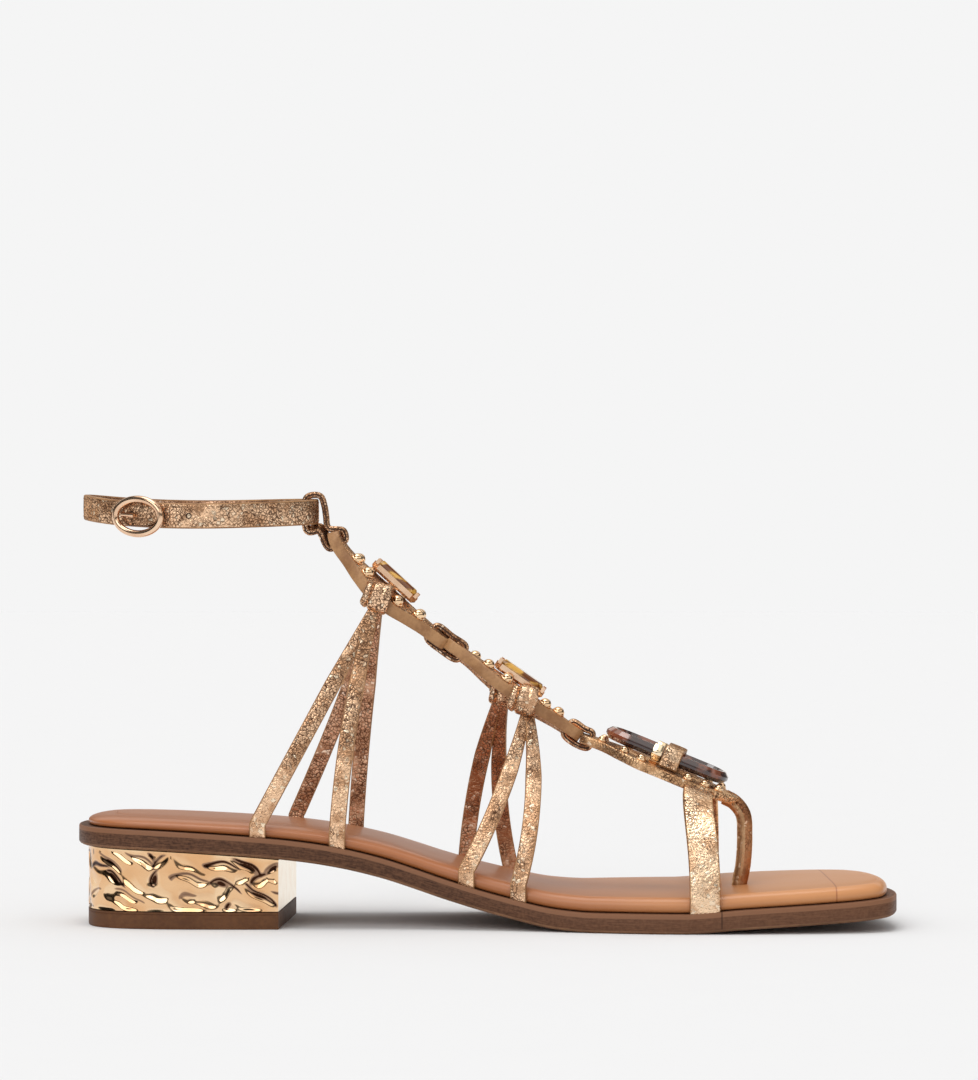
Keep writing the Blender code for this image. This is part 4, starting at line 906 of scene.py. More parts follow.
@dataclass
class Sole:
    """The outsole, the padded insole and the shape that both follow."""

    length: float = 253.1
    ball_width: float = 86.0
    seat_height: float = 25.0
    toe_spring: float = 4.8
    board: float = 6.0
    pad: float = 4.5
    pad_round: float = 3.2
    rim: float = 3.0
    gap: float = 0.3
    bevel: float = 1.1
    inner_side: Table = (
        (0.000, 0.000), (0.006, -0.140), (0.022, -0.230), (0.055, -0.293), (0.110, -0.325), (0.200, -0.335),
        (0.310, -0.324), (0.415, -0.330), (0.515, -0.368), (0.615, -0.436), (0.700, -0.488), (0.770, -0.500),
        (0.845, -0.492), (0.915, -0.472), (0.960, -0.447), (0.985, -0.400), (0.996, -0.310), (1.000, -0.180),
    )
    outer_side: Table = (
        (0.000, 0.000), (0.006, 0.140), (0.021, 0.228), (0.052, 0.288), (0.100, 0.318), (0.180, 0.330),
        (0.280, 0.332), (0.380, 0.342), (0.480, 0.365), (0.575, 0.412), (0.670, 0.472), (0.750, 0.500),
        (0.820, 0.490), (0.880, 0.455), (0.930, 0.390), (0.965, 0.290), (0.985, 0.160), (0.996, 0.000),
        (1.000, -0.180),
    )
    # share of the length, share of the seat height, share of the toe spring
    profile: Table = (
        (0.000, 1.000, 0.00), (0.096, 0.966, 0.00), (0.215, 0.892, 0.00), (0.276, 0.830, 0.00),
        (0.324, 0.752, 0.00), (0.373, 0.635, 0.00), (0.415, 0.500, 0.00), (0.450, 0.380, 0.00),
        (0.518, 0.182, 0.00), (0.590, 0.028, 0.00), (0.632, 0.000, 0.00), (0.735, 0.000, 0.00),
        (0.805, 0.000, 0.26), (0.938, 0.000, 0.70), (1.000, 0.000, 1.00),
    )
    # share of the length, share of the pad's thickness, share of the round of its edge
    pad_shape: Table = (
        (0.000, 0.70, 2.7), (0.100, 0.75, 2.7), (0.250, 0.84, 2.4), (0.420, 0.96, 1.5), (0.560, 1.00, 1.0),
        (1.000, 1.00, 1.0),
    )
    samples: int = 24
    stations: int = 150

    def __post_init__(self) -> None:
        """Work out the curves once."""
        self.seat_share = steady(self.profile, 1)
        self.spring_share = steady(self.profile, 2)
        self.pad_share = steady(self.pad_shape, 1)
        self.round_share = steady(self.pad_shape, 2)
        loop = [*self.inner_side, *self.outer_side[-2:0:-1]]
        places = [(self.at(along), across * self.ball_width) for along, across in loop]
        curve = smooth(places, self.samples, closed=True)
        tip = (len(self.inner_side) - 1) * self.samples
        self.edges = {
            Side.INNER: curve[: tip + 1],
            Side.OUTER: np.array([curve[0], *curve[: tip - 1 : -1]]),
        }

    def at(self, share: float) -> float:
        """X of a place given as a share of the length from the back."""
        return (share - 0.5) * self.length

    def share(self, x: float) -> float:
        """A place as a share of the length from the back."""
        return x / self.length + 0.5

    def underside(self, x: float) -> float:
        """Height of the outsole's lower face."""
        share = self.share(x)
        return self.seat_share(share) * self.seat_height + self.spring_share(share) * self.toe_spring

    def ledge(self, x: float) -> float:
        """Height of the outsole's upper face."""
        return self.underside(x) + self.board

    def pad_height(self, x: float) -> float:
        """Thickness of the insole."""
        return self.pad * self.pad_share(self.share(x))

    def footbed(self, x: float) -> float:
        """Height of the insole's upper face."""
        return self.ledge(x) + self.gap + self.pad_height(x)

    def side(self, side: Side, inset: object, count: int, end: Optional[float] = None) -> np.ndarray:
        """Evenly spaced points of one side of the outline.

        Args:
            side: the side of the foot.
            inset: how far the line lies inside the outline, or a function of X.
            count: how many steps the line has.
            end: where the line is cut off.

        Returns:
            Rows of X and Y, from the heel forwards.
        """
        edge = self.edges[side]
        amount = np.array([inset(x) for x in edge[:, 0]])[:, None] if callable(inset) else inset
        along = np.gradient(edge, axis=0)
        along[0], along[-1] = (0.0, side.value), (0.0, -side.value)
        inward = np.stack([along[:, 1], -along[:, 0]], axis=1) * side.value
        inward /= np.linalg.norm(inward, axis=1)[:, None]
        line = edge + inward * amount
        if end is not None:
            kept = line[line[:, 0] < end]
            line = np.array([*kept, (end, np.interp(end, line[:, 0], line[:, 1]))])
        return spread(line, count)

    def slab(
        self, levels: Sequence, bands: Sequence[int], columns: int, crown: float, caps: tuple[int, int]
    ) -> Shell:
        """A plate through stacked outlines, with its lower and upper face.

        Args:
            levels: inner side, outer side and height function, from the bottom up.
            bands: the finish of each wall between two levels.
            columns: steps across the faces.
            crown: rise of the upper face in its middle.
            caps: the finishes of the lower and the upper face.

        Returns:
            The plate.
        """
        shell = Shell()
        pointed = np.allclose(levels[0][0][-1], levels[0][1][-1], atol=0.01)
        shares = np.linspace(0.0, 1.0, columns + 1)
        loops, walls = [], []
        for inner, outer, height in levels:
            end = [] if pointed else [inner[-1] + (outer[-1] - inner[-1]) * s for s in shares[1:-1]]
            ring = np.array([*inner, *end, *(outer[-2:0:-1] if pointed else outer[:0:-1])])
            points = np.array([(x, y, height(x)) for x, y in ring])
            loops.append(list(range(len(shell.points), len(shell.points) + len(points))))
            walls.append(points)
            shell.points.extend(points)
        around = run_lengths(np.array([*walls[0], walls[0][0]]))
        rise = run_lengths(np.array([wall[0] for wall in walls]))
        for k, band in enumerate(bands):
            lower, upper = loops[k], loops[k + 1]
            for j, here in enumerate(lower):
                nxt = (j + 1) % len(lower)
                a, b, low, high = around[j], around[j + 1], rise[k], rise[k + 1]
                corners = (here, lower[nxt], upper[nxt], upper[j])
                shell.add_face(corners, ((a, low), (b, low), (b, high), (a, high)), band)
        for (inner, outer, height), loop, lift, band in (
            (levels[0], loops[0], 0.0, caps[0]),
            (levels[-1], loops[-1], crown, caps[1]),
        ):
            rows = [[loop[0]]]
            last = len(inner) - 1
            for k in range(1, last):
                row = [loop[k]]
                for share in shares[1:-1]:
                    x, y = inner[k] + (outer[k] - inner[k]) * share
                    row.append(len(shell.points))
                    shell.points.append((x, y, height(x) + lift * (1.0 - (2.0 * share - 1.0) ** 4)))
                rows.append([*row, loop[-k]])
            rows.append([loop[last]] if pointed else loop[last : last + columns + 1])
            for before, after in zip(rows, rows[1:]):
                for j in range(columns):
                    corners = dict.fromkeys(
                        (
                            before[min(j, len(before) - 1)],
                            before[min(j + 1, len(before) - 1)],
                            after[min(j + 1, len(after) - 1)],
                            after[min(j, len(after) - 1)],
                        )
                    )
                    shell.add_face(tuple(corners), [shell.points[c][:2] for c in corners], band)
        return shell

    def make_outsole(self) -> bpy.types.Object:
        """The stacked board: pale bevel below, streaked side and a lighter rim."""

        def level(inset: float, height: Callable[[float], float]) -> tuple:
            """One outline of the board."""
            sides = (self.side(side, inset, self.stations) for side in Side)
            return (*sides, height)

        bevel, broken = self.bevel, 0.5
        low = ((bevel, 0.0), (0.35 * bevel, 0.30 * bevel), (0.0, 0.8 * bevel), (0.0, 0.5 * self.board))
        levels = [level(inset, lambda x, up=up: self.underside(x) + up) for inset, up in low]
        high = ((0.0, broken), (0.3 * broken, 0.3 * broken), (broken, 0.0))
        levels += [level(inset, lambda x, down=down: self.ledge(x) - down) for inset, down in high]
        shell = self.slab(levels, (0, 0, 1, 1, 2, 2), 10, 0.0, (3, 2))
        made = shell.finish("outsole_stacked", SOLE_BEVEL, SOLE_EDGE, SOLE_EDGE, SOLE_BOTTOM)
        return dress(made, Slot.BROWN_LEATHER, "outsole")

    def make_insole(self) -> bpy.types.Object:
        """The padded insole with its rounded edge."""
        foot, side_share, steps = 0.5, 0.36, 12

        def level(inset_share: float, height_share: float, lower: float = 0.0) -> tuple:
            """One outline of the pad."""

            def inset(x: float) -> float:
                """How far the outline lies inside the sole's."""
                return self.rim + lower + inset_share * self.pad_round * self.round_share(self.share(x))

            def height(x: float) -> float:
                """Height of the outline."""
                return self.ledge(x) + self.gap + height_share * self.pad_height(x)

            return (*(self.side(side, inset, self.stations) for side in Side), height)

        levels = [level(0.0, 0.0, 0.8 * foot), level(0.0, foot / self.pad)]
        for step in range(steps + 1):
            angle = math.pi / 2 * step / steps
            levels.append(level(1 - math.cos(angle), side_share + (1 - side_share) * math.sin(angle)))
        shell = self.slab(levels, [0] * (len(levels) - 1), 20, 0.3, (0, 0))
        made = shell.finish("insole_padded", INSOLE_LEATHER, sharp=60.0)
        return dress(made, Slot.TAN_LEATHER, "insole")


@dataclass
class Heel:
    """The hammered block with its polished breast, and the lift under it."""

    sole: Sole
    length: float = 61.8
    inset: float = 1.6
    back_inset: float = 3.0
    back_reach: float = 8.0
    skew: float = 2.8
    lift: float = 5.2
    # depth inside the outline and distance below the lift's top, for the thin line round it
    lift_groove: Table = ((0.0, 0.9), (0.14, 0.75), (0.0, 0.6), (0.0, 0.15), (0.15, 0.0))
    dimple: float = 0.62  # depth of the hollows
    dimple_long: float = 7.8
    dimple_high: float = 4.8
    slant: float = 0.55  # lean of the rows of hollows
    jitter: tuple[float, float] = (0.36, 0.34)  # how far a hollow stands off its place in the rows
    stiff: float = 15.0  # how sharply one hollow gives way to the next
    reflection_crescents: float = 0.40  # level over which a hollow shows a painted dark reflection shaped like a crescent
    reflection_blots: float = 0.74  # level over which it shows a painted dark reflection shaped like a blot
    fade: tuple[float, float] = (1.6, 1.3)  # flat strip at the wall's ends and at its top and foot
    seed: int = 11

    def outline(self, inside: float, count: int) -> tuple[np.ndarray, np.ndarray]:
        """Inner and outer side of the block, up to the breast."""

        def inset(x: float) -> float:
            """How far the block stands inside the outsole."""
            fade = math.exp(-(x + self.sole.length / 2) / self.back_reach)
            return inside + self.inset + (self.back_inset - self.inset) * fade

        breast = -self.sole.length / 2 + self.back_inset + self.length
        inner = self.sole.side(Side.INNER, inset, count, breast - self.skew / 2)
        outer = self.sole.side(Side.OUTER, inset, count, breast + self.skew / 2)
        return inner, outer

    def hollows(self, along: np.ndarray, high: np.ndarray) -> tuple[np.ndarray, np.ndarray, np.ndarray]:
        """The beaten surface over a grid of places on the wall, with the dark reflections painted into its
        hollows.

        Args:
            along: distance round the wall.
            high: height on the wall.

        Returns:
            Depth, painted dark reflection and height of the ridges at each place.
        """
        rng = np.random.default_rng(self.seed)
        u = along + 0.9 * np.sin(high * 0.5 + along * 0.16) - self.slant * high
        v = high + 0.6 * np.sin(along * 0.33) + 0.4 * np.sin(along * 0.71 + high * 0.4)
        u, v = u / self.dimple_long, v / self.dimple_high
        wide, tall = self.jitter
        seeds = []
        for i in range(int(u.min()) - 3, int(u.max()) + 4):
            for j in range(int(v.min()) - 3, int(v.max()) + 4):
                shift = 0.5 * (j % 2) + rng.uniform(-wide, wide)
                seeds.append((i + shift, j + rng.uniform(-tall, tall)))
        tones = rng.uniform(0.0, 1.0, (len(seeds), 3))
        total, shade = np.zeros(u.shape), np.zeros(u.shape)
        for (su, sv), (size, dark, turn) in zip(seeds, tones):
            angle = 2.1 * (turn - 0.5)
            cosine, sine = math.cos(angle), math.sin(angle)
            du, dv = (u - su) * self.dimple_long, (v - sv) * self.dimple_high
            du, dv = cosine * du + sine * dv, cosine * dv - sine * du
            du = du / (self.dimple_long * (0.85 + 0.35 * size))
            dv = dv / (self.dimple_high * (0.80 + 0.30 * size))
            near = np.exp(-self.stiff * (du * du + dv * dv))
            total += near
            # painted reflection: dark crescents and blots in some hollows stand in for the dark studio
            # mirrored in the plate
            reflected_crescent = np.exp(-(((dv - 0.20 + 1.1 * du * du) / 0.13) ** 2)) * (dark > self.reflection_crescents)
            reflected_blot = np.exp(-(((dv + 0.08) / 0.19) ** 2 + (du / 0.26) ** 2)) * (dark > self.reflection_blots)
            shade += near * np.maximum(reflected_crescent * (0.35 + 0.65 * size), reflected_blot)
        field = -np.log(np.maximum(total, 1e-9)) / self.stiff
        depth = self.dimple * (1.0 - ease((field + 0.06) / 0.36))
        ridge = ease((field - 0.16) / 0.12)
        return depth, shade / np.maximum(total, 1e-9), ridge

    def make_block(self) -> bpy.types.Object:
        """The block: a hammered wall round three sides and a flat mirror in front."""
        inner, outer = self.outline(0.0, 260)
        wall = np.array([*inner[::-1], *outer[1:]])
        low = self.lift + self.sole.gap
        rows = 60
        along = run_lengths(wall)
        tops = np.array([self.sole.underside(x) - self.sole.gap for x, _ in wall])
        shares = np.linspace(0.0, 1.0, rows + 1)
        heights = low + (tops[None, :] - low) * shares[:, None]
        grid_u = np.broadcast_to(along, heights.shape)
        # dark is the painted reflection in the hollows
        depth, dark, ridge = self.hollows(grid_u, heights - low)
        edge_u = ease(np.minimum(grid_u - along[0], along[-1] - grid_u) / self.fade[0])
        edge_v = ease(np.minimum(heights - low, tops[None, :] - heights) / self.fade[1])
        depth = depth * edge_u * edge_v
        tangent = tangents_of(np.column_stack([wall, np.zeros(len(wall))]))
        outward = np.column_stack([-tangent[:, 1], tangent[:, 0]])
        shell = Shell()
        for k in range(rows + 1):
            for j in range(len(wall)):
                x, y = wall[j] - outward[j] * depth[k, j]
                shell.points.append((x, y, heights[k, j]))
        size = len(wall)
        for k in range(rows):
            for j in range(size - 1):
                corners = (k * size + j, k * size + j + 1, (k + 1) * size + j + 1, (k + 1) * size + j)
                surface = [(along[c % size], heights[c // size, c % size]) for c in corners]
                shell.add_face(corners, surface, 0)
        # the mark in the hollows carries the painted dark reflections to the material
        shell.marks = {"hollow": list((dark * edge_v).ravel()), "ridge": list((ridge * edge_v).ravel())}
        breast_columns = 8
        first = len(shell.points)
        for k in range(rows + 1):
            for s in np.linspace(0.0, 1.0, breast_columns + 1)[1:-1]:
                start, end = np.array(shell.points[k * size]), np.array(shell.points[(k + 1) * size - 1])
                shell.points.append(start + (end - start) * s)
        inside = breast_columns - 1

        def on_breast(k: int, j: int) -> int:
            """Number of a point of the breast."""
            if j == 0:
                return k * size
            return (k + 1) * size - 1 if j == breast_columns else first + k * inside + j - 1

        for k in range(rows):
            for j in range(breast_columns):
                places = ((k, j), (k, j + 1), (k + 1, j + 1), (k + 1, j))
                shell.add_face([on_breast(*place) for place in places], [(0.0, 0.0)] * 4, 1)
        for k in (0, rows):
            ring = [*range(k * size, (k + 1) * size)]
            ring += [on_breast(k, j) for j in range(breast_columns - 1, 0, -1)]
            shell.add_face(ring, [(0.0, 0.0)] * len(ring), 1)
        made = shell.finish("heel_hammered", HAMMERED, MIRROR_GOLD, sharp=50.0)
        return dress(made, Slot.GOLD_PLATE, "heel_block")

    def make_lift(self) -> bpy.types.Object:
        """The rubber lift with an eased foot."""
        eased = 0.5

        def level(inside: float, height: float) -> tuple:
            """One outline of the lift."""
            return (*self.outline(inside, 60), lambda x: height)

        levels = [level(eased, 0.0), level(0.15 * eased, 0.15 * eased), level(0.0, eased)]
        for inside, below in self.lift_groove:
            levels.append(level(inside, self.lift - below))
        shell = self.sole.slab(levels, [0] * (len(levels) - 1), 8, 0.0, (0, 0))
        made = shell.finish("top_lift_rubber", LIFT_RUBBER)
        return dress(made, Slot.BROWN_RUBBER, "top_lift")


# Upper


@dataclass
class Plaque:
    """A curved plaque of the spine, with places on it as shares of its length."""

    name: str
    sole: Sole
    ankle_height: float
    outline: Table
    start: tuple[float, float, float]
    end: tuple[float, float, float]
    bow: float
    neck: float
    roll: float
    half_width: float
    fall: float
    thickness: float
    slots: tuple[float, ...]
    stations: int = 70

    def __post_init__(self) -> None:
        """Work out the ends and the outline once."""
        self.width_share = steady(self.outline, 1)
        self.first, self.last = (
            np.array((self.sole.at(along), across, height * self.ankle_height))
            for along, across, height in (self.start, self.end)
        )
        self.length = float(np.linalg.norm(self.last - self.first))
        self.chord = unit(self.last - self.first)
        self.chord_out = unit(np.cross(self.chord, (0.0, 1.0, 0.0)))

    def axes(self, share: float) -> tuple[np.ndarray, np.ndarray, np.ndarray]:
        """Directions along, across to the outer side and out of the plaque."""
        step = 0.005
        slope = (self.rise(share + step) - self.rise(share - step)) / (2 * step * self.length)
        along = unit(self.chord + self.chord_out * slope)
        across = unit(np.cross(UP, along))
        return along, across, unit(np.cross(along, across))

    def rise(self, share: float) -> float:
        """Height of the centre line over the straight line between the two ends."""
        peak = 6**6 / 7**7
        return self.bow * 4 * share * (1 - share) + self.neck * share * (1 - share) ** 6 / peak

    def middle(self, share: float) -> np.ndarray:
        """The centre line at half the thickness."""
        return self.first + (self.last - self.first) * share + self.chord_out * self.rise(share)

    def half(self, share: float) -> float:
        """Half the width."""
        return self.width_share(share) * self.half_width

    def point(self, share: float, across: float, lift: float = 0.0) -> np.ndarray:
        """A place on or over the plaque.

        Args:
            share: share of the length from the rear end.
            across: distance from the centre line, outer side above zero.
            lift: height over half the thickness.

        Returns:
            The place.
        """
        _, side, out = self.axes(share)
        reach = across / self.half_width
        return self.middle(share) + side * across + out * (lift - self.fall * reach**2 - self.roll * reach)

    def facing(self, share: float, across: float) -> np.ndarray:
        """Direction straight out of the surface."""
        step = 0.5
        slope = self.point(share, across + step) - self.point(share, across - step)
        return unit(np.cross(self.axes(share)[0], slope))

    def slot_frame(self, number: int) -> tuple[np.ndarray, tuple]:
        """Middle and axes of a slot."""
        share = self.slots[number] / self.length % 1.0
        return self.middle(share), self.axes(share)

    def loft_body(self, shell: Shell) -> None:
        """The plaque itself: crackled face, tan cut edge, lined back."""
        shares = 0.5 - 0.5 * np.cos(np.linspace(0.0, math.pi, self.stations + 1))
        rounded = 0.5
        rings = []
        for share in shares:
            section, bands = strap_section(2 * self.half(share), self.thickness, rounded, 14, 0.12)
            rings.append([self.point(share, across, lift) for across, lift in section])
        for end, towards in ((0, -1.0), (-1, 1.0)):
            ring = np.array(rings[end])
            centre = ring.mean(axis=0)
            direction = self.axes(shares[end])[0] * towards
            cap = centre + (ring - centre) * 0.90 + direction * 0.35
            rings = [list(cap), *rings] if end == 0 else [*rings, list(cap)]
        shell.loft(rings, bands)


@dataclass
class StrapFoot:
    """Where a strap goes in between insole and outsole."""

    sole: Sole
    side: Side
    along: float
    width: float
    thickness: float
    turn: float = 1.2
    tail: float = 4.0

    def frame(self) -> tuple[np.ndarray, np.ndarray, np.ndarray]:
        """A point over the ledge, the direction along the edge and the direction inwards."""
        x = self.sole.at(self.along)
        edge = self.sole.side(self.side, self.sole.rim - self.sole.gap - self.thickness / 2, 400)
        step = 1.0
        y = np.interp(x, edge[:, 0], edge[:, 1])
        y_after = np.interp(x + step, edge[:, 0], edge[:, 1])
        along = unit(np.array((step, y_after - y, self.sole.ledge(x + step) - self.sole.ledge(x))))
        inward = unit(np.array((-along[1], along[0], 0.0)) * -self.side.value)
        return np.array((x, y, self.sole.ledge(x))), along, inward

    def path(self) -> list[np.ndarray]:
        """Points from over the insole's edge down, round the turn and in under the insole."""
        place, _, inward = self.frame()
        level = -self.sole.gap - self.thickness / 2
        centre = place + inward * self.turn + UP * (level + self.turn)
        points = [place + UP * (self.sole.gap + self.sole.pad_height(place[0]))]
        for angle in np.radians((0.0, 30.0, 60.0, 90.0)):
            reach = inward * math.cos(angle) + UP * math.sin(angle)
            points.append(centre - reach * self.turn)
        return [*points, points[-1] + inward * self.tail]


@dataclass
class Leg:
    """A narrow strap from a knot down to the sole."""

    plaque: Plaque
    foot: StrapFoot
    knot: float
    start: float
    bow: float
    knot_inset: float = 0.7
    drop: float = 3.2
    spread_power: float = 2.2
    taper: float = 0.62
    neck: float = 0.35
    stations: int = 46

    def top(self) -> np.ndarray:
        """The strap's upper end, inside the knot."""
        along, _, _ = self.plaque.axes(self.knot)
        reach = self.plaque.half(self.knot) - self.knot_inset
        return self.plaque.point(self.knot, self.foot.side.value * reach, -self.drop) + along * self.start

    def loft(self, shell: Shell) -> None:
        """Add the strap to its upper."""
        along, _, _ = self.plaque.axes(self.knot)
        first = self.top()
        tail = self.foot.path()
        last = tail[0]
        _, sole_along, _ = self.foot.frame()
        shares = np.linspace(0.0, 1.0, self.stations, endpoint=False)
        path, across, widths = [], [], []
        for share in shares:
            place = first + (last - first) * share
            place[0] += self.bow * 4 * share * (1 - share)
            place[1] = first[1] + (last[1] - first[1]) * (1 - (1 - share) ** self.spread_power)
            path.append(place)
            across.append(unit(along * (1 - share) + sole_along * share))
            widths.append(np.interp(share, (0.0, self.neck), (self.taper, 1.0)))
        path += tail
        across += [sole_along] * len(tail)
        widths += [1.0] * len(tail)
        section, bands = strap_section(self.foot.width, self.foot.thickness, 0.32, 8, 0.15)
        flip = self.foot.side is Side.OUTER
        shell.loft(strap_rings(np.array(path), across, section, flip, widths=widths), bands)


@dataclass
class Upper:
    """The three plaques with their straps, the toe post and the links."""

    sole: Sole
    ankle_height: float = 126.4
    leg_width: float = 5.0
    leg_thickness: float = 1.3
    strap_width: float = 9.3
    strap_thickness: float = 1.8
    strap_at: float = 0.780
    strap_sink: float = -0.2  # its middle over half the plaque's thickness
    strap_reach: tuple[float, ...] = (-6.0, -1.5, 7.5)  # hidden end, top and turn, from the plaque's edge
    strap_shoulder: float = 19.0  # height of the shoulder over the insole
    post: float = 4.8
    post_seam: float = 0.13  # depth of the seams as a share of the radius
    knot_size: tuple[float, float, float] = (8.4, 7.0, 9.0)
    knot_band: float = 2.1
    knot_folds: Table = ((-0.50, 0.75), (0.34, 0.28))  # place across and depth
    knot_power: float = 2.6  # 2 is an ellipse, more is squarer
    knot_rise: float = 0.15
    link_width: float = 5.0
    link_thickness: float = 1.9
    link_line: float = 0.70  # its middle over the clearance
    link_slack: float = 0.2
    link_twist: float = 0.55
    plaque_outline: Table = (
        (0.00, 0.33), (0.03, 0.43), (0.15, 0.52), (0.30, 0.84), (0.44, 1.00), (0.58, 0.97), (0.72, 0.76),
        (0.86, 0.53), (0.97, 0.43), (1.00, 0.33),
    )
    front_outline: Table = (
        (0.00, 0.30), (0.03, 0.40), (0.12, 0.48), (0.26, 0.80), (0.42, 1.00), (0.62, 1.00), (0.78, 0.90),
        (0.90, 0.66), (0.97, 0.44), (1.00, 0.32),
    )

    def __post_init__(self) -> None:
        """The plaques and their narrow straps."""
        common = (self.sole, self.ankle_height)
        self.ankle = Plaque(
            "ankle", *common, self.plaque_outline, start=(0.3151, 0.0, 0.960), end=(0.4515, -1.0, 0.6875),
            bow=-1.25, neck=-1.5, roll=0.0, half_width=12.0, fall=3.6, thickness=3.7, slots=(3.2, -6.0),
        )
        self.instep = Plaque(
            "instep", *common, self.plaque_outline, start=(0.4532, -1.2, 0.687), end=(0.6164, -4.0, 0.4588),
            bow=0.2, neck=0.0, roll=1.5, half_width=11.5, fall=2.3, thickness=3.6, slots=(5.8, -4.8),
        )
        self.front = Plaque(
            "forefoot", *common, self.front_outline, start=(0.6194, -4.2, 0.4554),
            end=(0.8070, -10.0, 0.304), bow=1.1, neck=0.0, roll=0.0, half_width=12.6, fall=1.5,
            thickness=2.8, slots=(3.0,),
        )
        # plaque, side, foot along the sole, knot along the plaque, start along the plaque, bow
        rows = (
            (self.ankle, Side.INNER, 0.2250, 0.481, 1.9, 0.0),
            (self.ankle, Side.INNER, 0.3210, 0.481, 1.9, -1.5),
            (self.ankle, Side.OUTER, 0.2615, 0.481, 1.7, 0.9),
            (self.ankle, Side.OUTER, 0.3370, 0.481, 1.9, -0.9),
            (self.instep, Side.INNER, 0.4775, 0.590, 3.3, 1.7),
            (self.instep, Side.INNER, 0.5400, 0.590, 4.8, 2.6),
            (self.instep, Side.OUTER, 0.4760, 0.449, 0.3, -1.5),
            (self.instep, Side.OUTER, 0.5320, 0.449, 2.4, -2.4),
        )
        self.legs = []
        for plaque, side, along, knot, start, bow in rows:
            foot = StrapFoot(self.sole, side, along, self.leg_width, self.leg_thickness)
            self.legs.append(Leg(plaque, foot, knot, start, bow))
        self.strap_feet = [
            StrapFoot(self.sole, Side.INNER, 0.7625, self.strap_width, self.strap_thickness),
            StrapFoot(self.sole, Side.OUTER, 0.7800, self.strap_width, self.strap_thickness),
        ]

    def loft_knot(self, shell: Shell, legs: list[Leg]) -> None:
        """The rolled loop of strap that wraps the plaque's edge, in line with its two legs.

        Args:
            shell: the piece that it joins.
            legs: the narrow straps that hang from it.
        """
        plaque, side, share = legs[0].plaque, legs[0].foot.side.value, legs[0].knot
        level = np.array((0.0, 1.0, 0.0))
        up = unit(sum(unit((leg.top() - leg.foot.path()[0]) * (1 - level)) for leg in legs))
        width = unit(np.cross(level, up))
        length, wide, high = self.knot_size
        centre = plaque.point(share, side * (plaque.half(share) - legs[0].knot_inset), self.knot_rise)
        reach, rise = (wide - self.knot_band) / 2, (high - self.knot_band) / 2
        section, bands = rolled_section(length, self.knot_band, self.knot_folds)
        rings = []
        for turn in turns(72):
            c, s = math.cos(turn), math.sin(turn)
            fat = 1.0 / (abs(c) ** self.knot_power + abs(s) ** self.knot_power) ** (1 / self.knot_power)
            out = unit(level * c / reach + up * s / rise)
            place = centre + (level * reach * c + up * rise * s) * fat
            swell = 1.0 + 0.05 * math.sin(2 * turn + 0.6) + 0.03 * math.sin(5 * turn)
            lean = 0.10 * math.sin(turn + 0.4)
            rings.append([place + width * (a * swell) + up * (a * lean) + out * b for a, b in section])
        shell.loft(rings, bands, closed=True)

    def make_strapped(self, plaque: Plaque) -> bpy.types.Object:
        """A plaque with its knots and its narrow straps."""
        shell = Shell()
        plaque.loft_body(shell)
        for side in Side:
            legs = [leg for leg in self.legs if leg.plaque is plaque and leg.foot.side is side]
            self.loft_knot(shell, legs)
            for leg in legs:
                leg.loft(shell)
        made = shell.finish(f"{plaque.name}_upper_leather", CRACKLE, TAN_EDGE, LINING)
        return dress(made, Slot.GOLD_LEATHER, f"{plaque.name}_upper")

    def side_strap(self, shell: Shell) -> None:
        """The wide straps from the front plaque down to both sides of the sole."""
        plaque, steps = self.front, 60
        along, _, _ = plaque.axes(self.strap_at)
        half = plaque.half(self.strap_at)
        for foot in self.strap_feet:
            tail = foot.path()
            _, sole_along, _ = foot.frame()
            hidden, top, turn = (
                plaque.point(self.strap_at, foot.side.value * (half + reach), self.strap_sink)
                for reach in self.strap_reach
            )
            shoulder = tail[0] + UP * self.strap_shoulder
            shares = np.linspace(0.0, 1.0, steps, endpoint=False)
            run = []
            for share in shares:
                rest = 1.0 - share
                upper_part = rest**3 * top + 3 * rest**2 * share * turn
                run.append(upper_part + 3 * rest * share**2 * shoulder + share**3 * tail[0])
            path = np.array([hidden, *run, *tail])
            blend = [unit(along * (1 - share) + sole_along * share) for share in shares]
            across = [along, *blend, *([sole_along] * len(tail))]
            section, bands = strap_section(self.strap_width, self.strap_thickness, 0.45, 12, 0.1)
            shell.loft(strap_rings(path, across, section, foot.side is Side.OUTER), bands)

    def post_path(self) -> np.ndarray:
        """Centre line of the toe post."""
        top = self.front.point(0.93, 0.0, -0.6)
        nose = self.front.point(1.0, 0.0, -0.8)
        base_x = self.sole.at(0.8110)
        base = np.array((base_x, nose[1] - 0.6, self.sole.footbed(base_x)))
        rise = nose[2] - base[2]
        knee = base + np.array((1.7, 0.2, 0.60 * rise))
        brow = base + np.array((1.2, 0.4, 0.86 * rise))
        shin = base + np.array((1.2, 0.0, 0.26 * rise))
        under = base - UP * (self.sole.pad_height(base_x) - self.sole.gap)
        return smooth([top, nose, brow, knee, shin, base, under], 14)

    def post_rings(self) -> tuple[list, list]:
        """The folded tube of the toe post, with a seam down both sides."""
        sides = 36
        path = self.post_path()
        backs = [unit(np.cross((0.0, 1.0, 0.0), tangent)) for tangent in tangents_of(path)]

        def radius(_: float, sine: float) -> float:
            """Half the thickness, less the seam."""
            return self.post / 2 * (1.0 - self.post_seam * math.exp(-((abs(sine) - 1.0) ** 2) / 0.0012))

        bands = [1 if math.cos(2 * math.pi * (k + 0.5) / sides) > 0 else 2 for k in range(sides)]
        return strap_rings(path, backs, bar_section(sides, radius)), bands

    def make_front(self) -> bpy.types.Object:
        """The front plaque with the wide straps."""
        shell = Shell()
        self.front.loft_body(shell)
        self.side_strap(shell)
        made = shell.finish("forefoot_upper_leather", CRACKLE_PALE, GOLD_EDGE, LINING)
        return dress(made, Slot.GOLD_LEATHER, "forefoot_upper")

